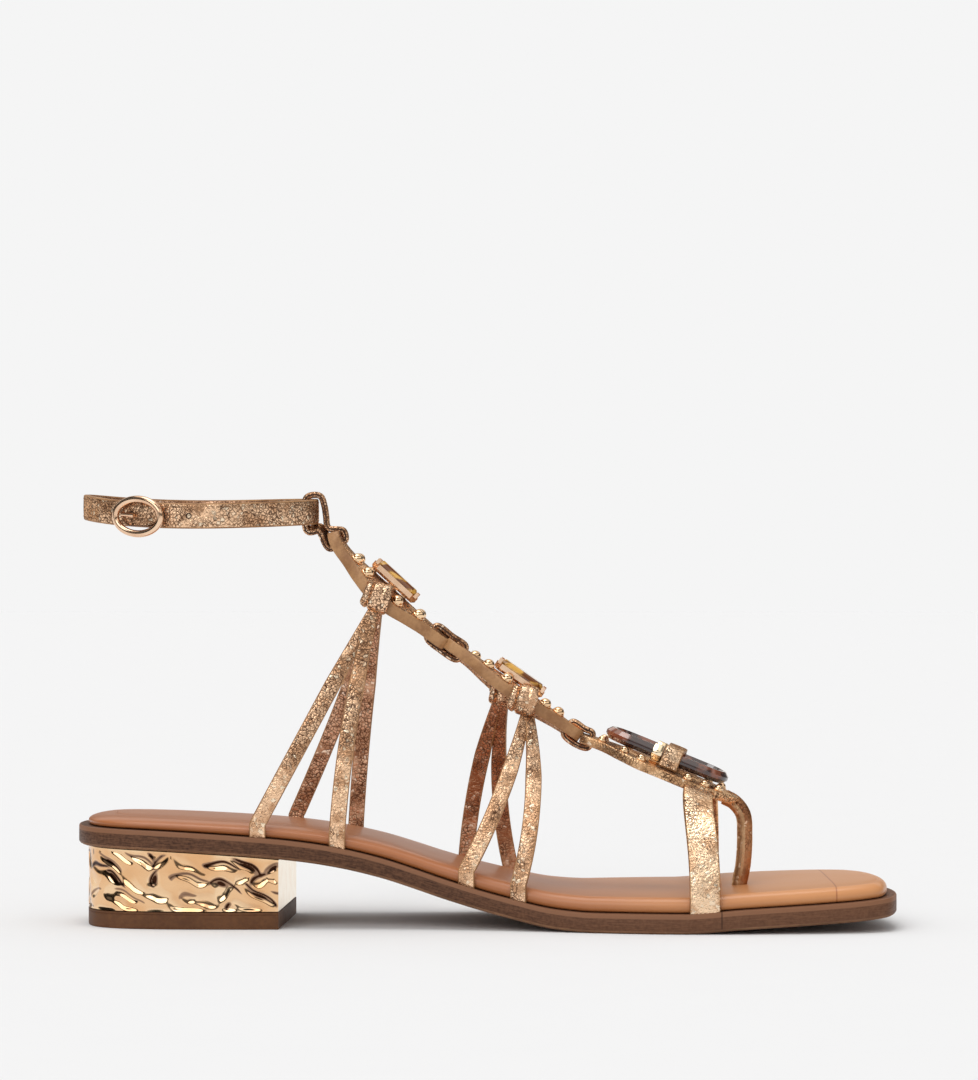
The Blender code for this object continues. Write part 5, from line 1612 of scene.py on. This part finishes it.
    def make_post(self) -> bpy.types.Object:
        """The toe post, which the front upper's solid holds too."""
        shell = Shell()
        rings, bands = self.post_rings()
        shell.loft(rings, bands)
        made = shell.finish("toe_post_leather", CRACKLE_PALE, POST_FACE, POST_BACK)
        return dress(made, Slot.GOLD_LEATHER, "forefoot_upper")

    def make_loop(
        self, name: str, points: Sequence, node: str, twist: Optional[Sequence[float]] = None
    ) -> bpy.types.Object:
        """A closed leather loop.

        Args:
            name: the piece's name.
            points: places on its centre line.
            node: the solid that it stands for.
            twist: how far its width leans out of the level at each point, as a slope.

        Returns:
            The loop.
        """
        leans = [0.0] * len(points) if twist is None else twist
        rows = [(*point, lean * self.link_width) for point, lean in zip(points, leans)]
        path = spread(smooth(rows, 20, closed=True), 120, closed=True)
        centres, leans = path[:, :3], path[:, 3] / self.link_width
        level = np.array((0.0, 1.0, 0.0))
        across = []
        for tangent, lean in zip(tangents_of(centres, True), leans):
            across.append(unit(level + unit(np.cross(tangent, level)) * lean))
        section, bands = lace_section(self.link_width, self.link_thickness)
        rings = strap_rings(centres, across, section, closed=True)
        shell = Shell()
        shell.loft(rings, bands, closed=True)
        return dress(shell.finish(name, CRACKLE_DARK, BROWN_EDGE), Slot.GOLD_LEATHER, node)

    def make_link(self, name: str, behind: Plaque, ahead: Plaque) -> bpy.types.Object:
        """The loop through the slots of two neighbouring plaques."""
        thickest = max(behind.thickness, ahead.thickness)
        lift = thickest / 2 + self.sole.gap + self.link_line
        back, back_axes = behind.slot_frame(1)
        front, front_axes = ahead.slot_frame(0)
        joint = (behind.middle(1.0) + ahead.middle(0.0)) / 2
        out = unit(back_axes[2] + front_axes[2])
        shoulder, inset = 0.86 * lift, self.link_thickness / 4
        points = [
            back,
            back + back_axes[2] * shoulder + back_axes[0] * inset,
            joint + out * lift,
            front + front_axes[2] * shoulder - front_axes[0] * inset,
            front,
            front - front_axes[2] * shoulder - front_axes[0] * inset,
            joint - out * lift,
            back - back_axes[2] * shoulder + back_axes[0] * inset,
        ]
        return self.make_loop(f"{name}_leather", points, name)

    def make_ankle_link(self, strap: "AnkleStrap") -> bpy.types.Object:
        """The loop through the rear plaque's slot and round the front of the ankle strap."""
        slot, (along, _, out) = self.ankle.slot_frame(0)
        end, (_, _, end_out) = self.ankle.middle(0.0), self.ankle.axes(0.0)
        centre = strap.centre(0.0)
        clear = self.sole.gap + self.link_line + self.link_slack
        up = UP * (strap.width / 2 + clear)
        ahead = np.array((strap.thickness / 2 + clear, 0.0, 0.0))
        lift = self.ankle.thickness / 2 + clear
        points = [
            slot,
            slot + out * lift * 0.72,
            end + end_out * lift * 0.88 - along * 0.2,
            centre + ahead * 1.85 - up,
            centre + ahead * 1.5 - up * 0.25,
            centre + ahead * 1.3 + up * 0.3,
            centre + ahead * 0.75 + up * 0.93,
            centre - ahead * 0.15 + up * 1.03,
            centre - ahead * 1.25 + up * 0.86,
            centre - ahead * 1.5 + up * 0.2,
            centre - ahead * 1.5 - up * 0.65,
            centre - ahead * 0.9 - up * 1.15,
            end - end_out * lift * 1.25 - along * 2.4,
            slot - (out + along * 0.10) * lift,
        ]
        twist = [0.0] * (len(points) - 3) + [share * self.link_twist for share in (0.7, 1.0, 0.6)]
        return self.make_loop("link_ankle_leather", points, "link_ankle", twist)


# Small repeats by geometry nodes


class Repeat(Enum):
    """What a row of points carries."""

    STITCH = "stitch"
    STUD = "stud"


@dataclass
class Rows:
    """A geometry node tree that sets one small shape on every point of a mesh."""

    kind: Repeat
    finish: object
    collar_share: float = 0.56  # radius of a stud's collar as a share of the stud's length
    collar_height: float = 0.45

    def tree(self) -> bpy.types.NodeTree:
        """The tree, with its sizes as named inputs in metres."""
        tree = bpy.data.node_groups.new(f"{self.kind.value}_rows", "GeometryNodeTree")
        face = tree.interface
        face.new_socket("Geometry", in_out="INPUT", socket_type="NodeSocketGeometry")
        for name in ("Length", "Width", "Height"):
            face.new_socket(name, in_out="INPUT", socket_type="NodeSocketFloat")
        face.new_socket("Geometry", in_out="OUTPUT", socket_type="NodeSocketGeometry")
        wires = Wiring(tree)
        enter = wires.node("NodeGroupInput").outputs
        leave = wires.node("NodeGroupOutput").inputs["Geometry"]
        segments, rings = (10, 6) if self.kind is Repeat.STITCH else (28, 14)
        ball = wires.node("GeometryNodeMeshUVSphere", Segments=segments, Rings=rings, Radius=0.5)
        size = wires.node("CombineXYZ", X=enter["Length"], Y=enter["Width"], Z=enter["Height"])
        shaped = wires.node(
            "GeometryNodeTransform", Geometry=ball.outputs["Mesh"], Scale=size.outputs["Vector"]
        )
        shape = shaped.outputs["Geometry"]
        if self.kind is Repeat.STUD:
            radius = wires.maths("MULTIPLY", enter["Length"], self.collar_share)
            collar = wires.node(
                "GeometryNodeMeshCylinder", Vertices=segments, Radius=radius, Depth=self.collar_height * MM
            )
            both = wires.node("GeometryNodeJoinGeometry", Geometry=collar.outputs["Mesh"])
            wires.feed(both.inputs["Geometry"], shape)
            shape = both.outputs["Geometry"]
        turn = None
        for axis, pivot, name in (("X", "AUTO", "run"), ("Z", "X", "rise")):
            read = wires.node("GeometryNodeInputNamedAttribute", {"data_type": "FLOAT_VECTOR"}, Name=name)
            settings = {"axis": axis, "pivot_axis": pivot}
            vector = read.outputs["Attribute"]
            align = wires.node("FunctionNodeAlignRotationToVector", settings, Vector=vector)
            if turn is not None:
                wires.feed(align.inputs["Rotation"], turn)
            turn = align.outputs["Rotation"]
        points = enter["Geometry"]
        put = wires.node("GeometryNodeInstanceOnPoints", Points=points, Instance=shape, Rotation=turn)
        real = wires.node("GeometryNodeRealizeInstances", Geometry=put.outputs["Instances"])
        soft = wires.node("GeometryNodeSetShadeSmooth", Geometry=real.outputs["Geometry"])
        paint = wires.node(
            "GeometryNodeSetMaterial", Geometry=soft.outputs["Geometry"], Material=material_of(self.finish)
        )
        wires.feed(leave, paint.outputs["Geometry"])
        return tree

    def make(
        self, name: str, places: Sequence, runs: Sequence, rises: Sequence, size: tuple
    ) -> bpy.types.Object:
        """The repeated shapes as one plain mesh.

        Args:
            name: the piece's name.
            places: where each shape stands.
            runs: the direction of each one's length.
            rises: the direction of each one's height.
            size: length, width and height of the shape.

        Returns:
            The object.
        """
        mesh = bpy.data.meshes.new(name)
        mesh.from_pydata(metres(places), [], [])
        for mark, values in (("run", runs), ("rise", rises)):
            layer = mesh.attributes.new(mark, "FLOAT_VECTOR", "POINT")
            layer.data.foreach_set("vector", np.array(values, np.float32).ravel())
        holder = stand(f"{name}_points", mesh)
        change = holder.modifiers.new("rows", "NODES")
        change.node_group = self.tree()
        sockets = change.node_group.interface.items_tree
        inputs = {socket.name: socket.identifier for socket in sockets if socket.in_out == "INPUT"}
        for key, value in zip(("Length", "Width", "Height"), size):
            change[inputs[key]] = value * MM
        bpy.context.view_layer.update()
        graph = bpy.context.evaluated_depsgraph_get()
        baked = bpy.data.meshes.new_from_object(holder.evaluated_get(graph))
        holder.modifiers.clear()
        bpy.data.objects.remove(holder)
        return stand(name, baked)


# Ankle strap and buckle


@dataclass
class AnkleStrap:
    """The band round the ankle, its end in the buckle, its stitches and holes."""

    sole: Sole
    height: float = 126.4
    length: float = 73.4
    breadth: float = 54.0
    front: float = 0.2945
    outer_rise: float = 1.6
    front_rise: float = 0.8
    back_rise: float = 2.2
    width: float = 7.8
    thickness: float = 2.0
    end_length: float = 13.0
    end_thickness: float = 1.3
    end_inset: float = 0.3
    # height over the band and distance inside the end's outline, from the bottom up
    end_sides: Table = ((-0.8, 0.0), (0.85, 0.0), (1.12, 0.12))
    # height over the end's thickness and the same distance
    end_face: Table = ((0.0, 0.45), (0.06, 1.5))
    buckle_place: float = 0.725
    buckle_length: float = 18.0
    buckle_height: float = 12.8
    wire: float = 2.2
    wire_flatness: float = 0.96
    buckle_drop: float = 0.6
    buckle_lift: float = 1.0
    stitch: tuple[float, float, float] = (1.0, 0.32, 0.26)
    stitch_pitch: float = 1.55
    stitch_inset: float = 1.15
    stitch_rise: float = 0.06
    end_stitch_inset: float = 1.0
    end_stitches: int = 26
    holes: tuple[float, ...] = (0.635, 0.525)  # places as shares of the strap's length from the front
    end_hole: float = 2.9  # from the middle of the strap's end
    # radius and height of the rings of a hole's rim and floor
    hole_rings: Table = ((0.95, -0.12), (0.90, 0.10), (0.70, 0.12), (0.55, -0.10), (0.05, -0.12))
    hole_rise: float = 0.10
    swell: float = 0.35  # how much squarer than an ellipse the strap's plan is

    def centre(self, turn: float) -> np.ndarray:
        """A point of the centre line; turn is 0 in front and grows past the outer side."""
        front = self.sole.at(self.front) - self.thickness / 2
        half_length = (self.length - self.thickness) / 2
        half_width = (self.breadth - self.thickness) / 2
        swing = math.sin(turn)
        ends = (self.front_rise + self.back_rise + (self.front_rise - self.back_rise) * math.cos(turn)) / 2
        return np.array(
            (
                front - half_length * (1 - math.cos(turn)),
                half_width * swing * abs(swing) ** self.swell,
                self.height + self.outer_rise * (1 + swing) / 2 + ends * math.cos(turn) ** 2,
            )
        )

    def frame(self, turn: float) -> tuple[np.ndarray, np.ndarray, np.ndarray, np.ndarray]:
        """Centre, direction along, direction up and direction out."""
        step = 0.01
        along = unit(self.centre(turn + step) - self.centre(turn - step))
        out = unit(np.cross(along, UP))
        return self.centre(turn), along, unit(np.cross(out, along)), out

    def turn_at(self, share: float) -> float:
        """The turn of a place on the inner side, given as a share of the length from the front."""
        return -math.acos(1 - 2 * share)

    def path(self) -> np.ndarray:
        """The closed centre line."""
        return spread([self.centre(turn) for turn in turns(720)], 320, True)

    def make_band(self) -> bpy.types.Object:
        """The band with the raised end that lies inside the buckle."""
        path = self.path()
        section, bands = strap_section(self.width, self.thickness, 0.45, 10, 0.12)
        shell = Shell()
        shell.loft(strap_rings(path, [UP] * len(path), section, closed=True), bands, closed=True)
        centre, along, up, out = self.frame(self.turn_at(self.buckle_place))
        rings = []
        faces = [(self.end_thickness + level, inset) for level, inset in self.end_face]
        for level, inset in (*self.end_sides, *faces):
            base = centre + out * (self.thickness / 2 + level)
            rings.append([base + along * x + up * y for x, y in self.end_outline(inset)])
        count = len(rings[0])
        shell.loft(rings[:3], [Band.EDGE.value] * count, caps=False)
        shell.loft(rings[2:], [Band.FACE.value] * count, cap_band=Band.FACE.value)
        made = shell.finish("ankle_strap_leather", CRACKLE, TAN_EDGE, LINING, merge=0.01)
        return dress(made, Slot.GOLD_LEATHER, "ankle_strap")

    def end_outline(self, inset: float) -> list[tuple[float, float]]:
        """The strap's end, straight behind and round in front."""
        half = self.width / 2 - self.end_inset
        straight = self.end_length / 2 - half
        outline = []
        for angle in np.linspace(-math.pi / 2, math.pi / 2, 25):
            outline.append((straight + (half - inset) * math.cos(angle), (half - inset) * math.sin(angle)))
        outline += [(-x, -y) for x, y in outline]
        return outline

    def make_stitches(self) -> bpy.types.Object:
        """Both rows of stitches along the band and the row round its end."""
        path = self.path()
        count = round(run_lengths(path)[-1] / self.stitch_pitch)
        even = spread(path, count, True)
        places, runs, rises = [], [], []
        reach, level = self.width / 2 - self.stitch_inset, self.thickness / 2 + self.stitch_rise
        for place, tangent in zip(even, tangents_of(even, True)):
            out = unit(np.cross(tangent, UP))
            for row in (-1, 1):
                places.append(place + UP * row * reach + out * level)
                runs.append(tangent)
                rises.append(out)
        centre, along, up, out = self.frame(self.turn_at(self.buckle_place))
        end_level = self.thickness / 2 + self.end_thickness + self.stitch_rise / 2
        ring = spread(self.end_outline(self.end_stitch_inset), self.end_stitches, True)
        for (x, y), (run_x, run_y) in zip(ring, tangents_of(ring, True)):
            places.append(centre + along * x + up * y + out * end_level)
            runs.append(along * run_x + up * run_y)
            rises.append(out)
        made = Rows(Repeat.STITCH, THREAD).make("ankle_strap_stitches", places, runs, rises, self.stitch)
        return dress(made, Slot.GOLD_LEATHER)

    def make_holes(self) -> bpy.types.Object:
        """The punched holes in front of the buckle and the one in the strap's end, each a shallow dark dish
        whose colour is painted shade in place of the opening.
        """
        shell = Shell()
        for share in (*self.holes, self.buckle_place):
            centre, along, up, out = self.frame(self.turn_at(share))
            level = self.thickness / 2 + self.hole_rise
            if share == self.buckle_place:
                centre = centre - along * self.end_hole
                level += self.end_thickness
            rings = []
            for radius, rise in self.hole_rings:
                base = centre + out * (level + rise)
                rings.append([base + (along * math.cos(t) + up * math.sin(t)) * radius for t in turns(20)])
            shell.loft(rings, [0] * 20, cap_band=0)
        return dress(shell.finish("ankle_strap_holes", HOLE_SHADE), Slot.GOLD_LEATHER)

    def make_buckle(self) -> bpy.types.Object:
        """The oval wire frame."""
        centre, along, up, out = self.frame(self.turn_at(self.buckle_place))
        seat = centre + out * (self.thickness / 2 + self.sole.gap + self.wire / 2 + self.buckle_lift)
        seat = seat - up * self.buckle_drop
        half_length = (self.buckle_length - self.wire) / 2
        half_height = (self.buckle_height - self.wire) / 2
        path = np.array(
            [seat + along * half_length * math.cos(t) + up * half_height * math.sin(t) for t in turns(120)]
        )
        sides = [unit(np.cross(out, tangent)) for tangent in tangents_of(path, True)]
        section = bar_section(24, lambda cosine, sine: self.wire / 2) * (1.0, self.wire_flatness)
        shell = Shell()
        shell.loft(strap_rings(path, sides, section, closed=True), [0] * len(section), closed=True)
        made = shell.finish("buckle_frame_wire", ROSE_GOLD)
        return dress(made, Slot.GOLD_PLATE, "buckle_frame")


# Ornaments


@dataclass
class RingOrnament:
    """The oblong tortoiseshell ring with its cuffs and the leather wrap that holds it."""

    plaque: Plaque
    gap: float = 0.3
    length: float = 40.6
    width: float = 17.0
    bar: float = 3.8
    bar_power: float = 3.2  # 2 is round, more is squarer
    bar_bevel: float = 1.28  # 1 cuts the bar to a diamond, more cuts less off its corners
    at: float = 0.515
    wrap_width: float = 5.8
    wrap_thickness: float = 1.1
    wrap_shift: float = 2.1
    cuff_length: float = 3.2
    cuff_thickness: float = 0.5
    cuff_bevel: float = 1.22

    def frame(self) -> tuple[np.ndarray, tuple]:
        """Middle and axes of the ring."""
        surface = self.plaque.thickness / 2 - self.plaque.fall * (self.reach / self.plaque.half_width) ** 2
        lift = surface + 2 * self.gap + self.cuff_thickness + self.bar / 2
        return self.plaque.point(self.at, 0.0, lift), self.plaque.axes(self.at)

    @property
    def reach(self) -> float:
        """From the middle of the ring to the middle of a bar."""
        return (self.width - self.bar) / 2

    def make_ring(self) -> bpy.types.Object:
        """The ring, a bar with a flattened top and bevelled sides."""
        centre, (along, across, out) = self.frame()
        straight = (self.length - self.width) / 2
        path = []
        for end in (1, -1):
            for angle in np.linspace(-math.pi / 2, math.pi / 2, 37):
                x = end * (straight + self.reach * math.cos(angle))
                path.append(centre + along * x + across * end * self.reach * math.sin(angle))
        path = spread(path, 220, True)
        sides = [unit(np.cross(out, tangent)) for tangent in tangents_of(path, True)]

        def radius(cosine: float, sine: float) -> float:
            """Half the bar's thickness: a soft square with its corners cut."""
            across, rise = abs(cosine), abs(sine)
            soft = (across**self.bar_power + rise**self.bar_power) ** (-1 / self.bar_power)
            return self.bar / 2 * min(soft, self.bar_bevel / (across + rise))

        count = 32
        section = bar_section(count, radius, math.pi / count)
        shell = Shell()
        shell.loft(strap_rings(path, sides, section, closed=True), [0] * count, closed=True)
        made = shell.finish("tortoise_ring_polished", SHELL, sharp=30.0)
        return dress(made, Slot.TORTOISESHELL, "tortoise_ring")

    def make_cuff(self, side: Side) -> bpy.types.Object:
        """A metal cuff round one bar, just behind the wrap."""
        centre, (along, across, out) = self.frame()
        behind = self.wrap_width / 2 + self.gap + self.cuff_length / 2 - self.wrap_shift
        place = centre + across * side.value * self.reach - along * behind
        inner = self.bar / 2 + 0.05
        outer = self.bar / 2 + self.gap + self.cuff_thickness
        half = self.cuff_length / 2
        rings = []
        section = bar_section(48, lambda c, s: min(1.0, self.cuff_bevel / (abs(c) + abs(s))))
        broken, eased = 0.15, 0.2
        rear = ((inner, half), (outer - broken, half), (outer, half - eased))
        for radius, x in (*((radius, -x) for radius, x in rear), *rear[::-1]):
            base = place + along * x
            rings.append([base + (across * wide + out * high) * radius for wide, high in section])
        shell = Shell()
        shell.loft(rings, [0] * len(section), closed=True)
        node = f"cuff_{side.name.lower()}"
        return dress(shell.finish(f"{node}_polished", MIRROR_GOLD), Slot.GOLD_PLATE, node)

    def make_wrap(self) -> bpy.types.Object:
        """The leather band over both bars."""
        centre, (along, across, out) = self.frame()
        centre = centre + along * self.wrap_shift
        at = self.at + self.wrap_shift / self.plaque.length
        reach = self.bar / 2 + self.gap + self.wrap_thickness / 2 + 0.15
        foot_across = self.reach + reach + 0.9
        foot_lift = self.plaque.thickness / 2 + self.gap + self.wrap_thickness / 2 - 0.2
        half = [self.plaque.point(at, -foot_across - 0.4, foot_lift)]
        for angle in np.radians((195.0, 150.0, 115.0, 85.0)):
            swing = across * math.cos(angle) + out * math.sin(angle)
            half.append(centre - across * self.reach + swing * reach)
        points = [*half, centre + out * (reach - 0.5)]
        for place in half[::-1]:
            points.append(place - 2 * across * float(np.dot(place - centre, across)))
        path = spread(smooth(points, 14), 90)
        section, bands = strap_section(self.wrap_width, self.wrap_thickness, 0.35, 10, 0.1)
        shell = Shell()
        shell.loft(strap_rings(path, [along] * len(path), section, True), bands)
        made = shell.finish("ring_wrap_leather", CRACKLE_PALE, TAN_EDGE, LINING)
        return dress(made, Slot.GOLD_LEATHER, "ring_wrap")


@dataclass
class Studs:
    """The domed studs along both edges of a plaque."""

    plaque: Plaque
    diameter: float
    inner: tuple[float, ...]
    outer: tuple[float, ...]
    inset: float = 0.9

    def make(self) -> bpy.types.Object:
        """All studs of the plaque."""
        places, runs, rises, nodes = [], [], [], []
        for side, shares in ((Side.INNER, self.inner), (Side.OUTER, self.outer)):
            for number, share in enumerate(shares, start=1):
                across = side.value * (self.plaque.half(share) - self.inset - self.diameter / 2)
                places.append(self.plaque.point(share, across, self.plaque.thickness / 2 + 0.25))
                runs.append(self.plaque.axes(share)[0])
                rises.append(self.plaque.facing(share, across))
                nodes.append(f"stud_{self.plaque.name}_{side.name.lower()}_{number}")
        size = (self.diameter, self.diameter, self.diameter)
        made = Rows(Repeat.STUD, STUD_GOLD).make(f"studs_{self.plaque.name}", places, runs, rises, size)
        return dress(made, Slot.GOLD_PLATE, *nodes)


# Stage


@dataclass
class Studio:
    """Floor, soft lights, surroundings and the camera."""

    camera_at: tuple[float, float, float] = (0.0012, -1.2, 0.116)
    lens: float = 128.0
    drop: float = 10 / 1080  # the horizon lies this share of the picture's height below its middle
    backdrop: Colour = (0.913, 0.913, 0.913)
    ambient: float = 0.667
    # height in the surroundings, 0.5 at the horizon, and brightness
    sheets: Table = (
        (0.470, 0.80), (0.500, 0.92), (0.545, 0.88), (0.580, 0.14), (0.670, 0.11), (0.710, 1.05),
        (0.840, 1.00), (0.870, 0.20), (0.910, 0.25), (0.930, 1.15),
    )
    below: Colour = (0.55, 0.53, 0.50)
    above: Colour = (1.2, 1.18, 1.15)
    sheet_tint: Colour = (1.0, 0.96, 0.91)
    gap_scale: float = 0.9
    gap_range: tuple[float, float] = (0.44, 0.52)
    gap_light: float = 0.12
    floor_half: float = 6.0
    floor_tones: tuple[Colour, Colour] = ((0.8435, 0.8425, 0.8435), (0.8515, 0.8505, 0.8495))
    # name, direction of the light, light on a surface that faces it, width in the sky in degrees
    suns: tuple = (
        ("top_light", (0.10, 0.10, -1.0), 0.88, 35.0),
        ("front_light", (0.45, 1.0, -0.75), 0.75, 40.0),
    )

    def make_floor(self) -> bpy.types.Object:
        """The plain pale floor."""
        mesh = bpy.data.meshes.new("floor")
        half = self.floor_half
        corners = [(-half, -half, 0.0), (half, -half, 0.0), (half, half, 0.0), (-half, half, 0.0)]
        mesh.from_pydata(corners, [], [(0, 1, 2, 3)])
        board = Board("pale_floor")
        tone = board.mix(board.noise(40.0, 3.0), *self.floor_tones)
        mesh.materials.append(board.shade(Base_Color=tone, Roughness=1.0, Specular_IOR_Level=0.0))
        floor = stand("floor", mesh)
        return floor

    def make_world(self) -> None:
        """A pale backdrop for the camera, and a studio with bright sheets and dark gaps for reflections."""
        world = bpy.data.worlds.new("studio")
        bpy.context.scene.world = world
        world.use_nodes = True
        world.node_tree.nodes.clear()
        tree = Wiring(world.node_tree)

        def mixed(share: object, first: object, second: object) -> object:
            """Two shaders mixed."""
            made = tree.node("MixShader", Fac=share)
            tree.feed(made.inputs[1], first)
            tree.feed(made.inputs[2], second)
            return made.outputs["Shader"]

        view = tree.node("TexCoord").outputs["Generated"]
        high = tree.node("SeparateXYZ", Vector=view).outputs["Z"]
        ramp = tree.node("ValToRGB", Fac=tree.maths("MULTIPLY_ADD", high, 0.5, 0.5))
        for element, colour in zip(ramp.color_ramp.elements, (self.below, self.above)):
            element.color = (*colour, 1.0)
        for position, value in self.sheets:
            ramp.color_ramp.elements.new(position).color = (*(value * c for c in self.sheet_tint), 1.0)
        gaps = tree.node("TexNoise", Vector=view, Scale=self.gap_scale, Detail=0.5).outputs["Fac"]
        strength = tree.ramp(gaps, *self.gap_range, self.gap_light, 1.0)
        mirror = tree.node("Background", Color=ramp.outputs["Color"], Strength=strength).outputs[0]
        plain = tree.node("Background", Color=self.backdrop).outputs[0]
        soft = tree.node("Background", Color=(1.0, 1.0, 1.0), Strength=self.ambient).outputs[0]
        ray = tree.node("LightPath").outputs
        glossy = mixed(ray["Is Glossy Ray"], soft, mirror)
        tree.node("OutputWorld", Surface=mixed(ray["Is Camera Ray"], glossy, plain))

    def make_sun(self, name: str, towards: tuple, strength: float, wide: float) -> None:
        """One soft lamp that lights the whole floor alike.

        Args:
            name: the lamp's name.
            towards: the direction that its light takes.
            strength: light on a surface that faces it.
            wide: its width in the sky, in degrees.
        """
        data = bpy.data.lights.new(name, "SUN")
        data.energy = strength
        data.angle = math.radians(wide)
        stand(name, data).rotation_euler = Vector(towards).to_track_quat("-Z", "Y").to_euler()

    def make_camera(self) -> None:
        """The camera at the photograph's angle."""
        data = bpy.data.cameras.new("camera")
        data.lens = self.lens
        data.sensor_width = 36.0
        data.shift_y = self.drop
        data.clip_end = 50.0
        camera = stand("camera", data)
        camera.location = self.camera_at
        camera.rotation_euler = (math.radians(90.0), 0.0, 0.0)
        bpy.context.scene.camera = camera

    def build(self) -> None:
        """Everything round the sandal."""
        self.make_camera()
        self.make_floor()
        self.make_world()
        for sun in self.suns:
            self.make_sun(*sun)
        bpy.context.scene.view_settings.view_transform = "Standard"


def refinish(frame: dict, node: str, finish: object) -> None:
    """Give a solid that stays its better material."""
    solid = frame["nodes"][node]
    solid.data.materials.clear()
    solid.data.materials.append(material_of(finish))
    LOG.info("%s: refinished", node)


def main() -> None:
    """Build the sandal and its studio."""
    logging.basicConfig(level=logging.INFO, format="%(name)s: %(message)s")
    for existing in list(bpy.data.objects):
        bpy.data.objects.remove(existing)
    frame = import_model()
    Studio().build()
    sole = Sole()
    sole.make_outsole()
    sole.make_insole()
    heel = Heel(sole)
    heel.make_block()
    heel.make_lift()
    upper = Upper(sole)
    upper.make_strapped(upper.ankle)
    upper.make_strapped(upper.instep)
    upper.make_front()
    upper.make_post()
    strap = AnkleStrap(sole)
    upper.make_link("link_instep", upper.ankle, upper.instep)
    upper.make_link("link_forefoot", upper.instep, upper.front)
    upper.make_ankle_link(strap)
    strap.make_band()
    strap.make_stitches()
    strap.make_holes()
    strap.make_buckle()
    ring = RingOrnament(upper.front)
    ring.make_ring()
    for side in Side:
        ring.make_cuff(side)
    ring.make_wrap()
    Studs(upper.ankle, 3.8, (0.225, 0.336, 0.594, 0.755), (0.225, 0.336, 0.594, 0.755)).make()
    Studs(upper.instep, 3.8, (0.292, 0.435, 0.715, 0.809), (0.185, 0.288, 0.565, 0.710)).make()
    small = (0.125, 0.276, 0.388, 0.689, 0.796, 0.882)
    Studs(upper.front, 2.8, small, small).make()
    for tag in ("ankle", "instep"):
        refinish(frame, f"setting_{tag}", ROSE_GOLD)
        refinish(frame, f"crystal_{tag}", AMBER)
    refinish(frame, "buckle_prong", ROSE_GOLD)


if __name__ == "__main__":
    main()
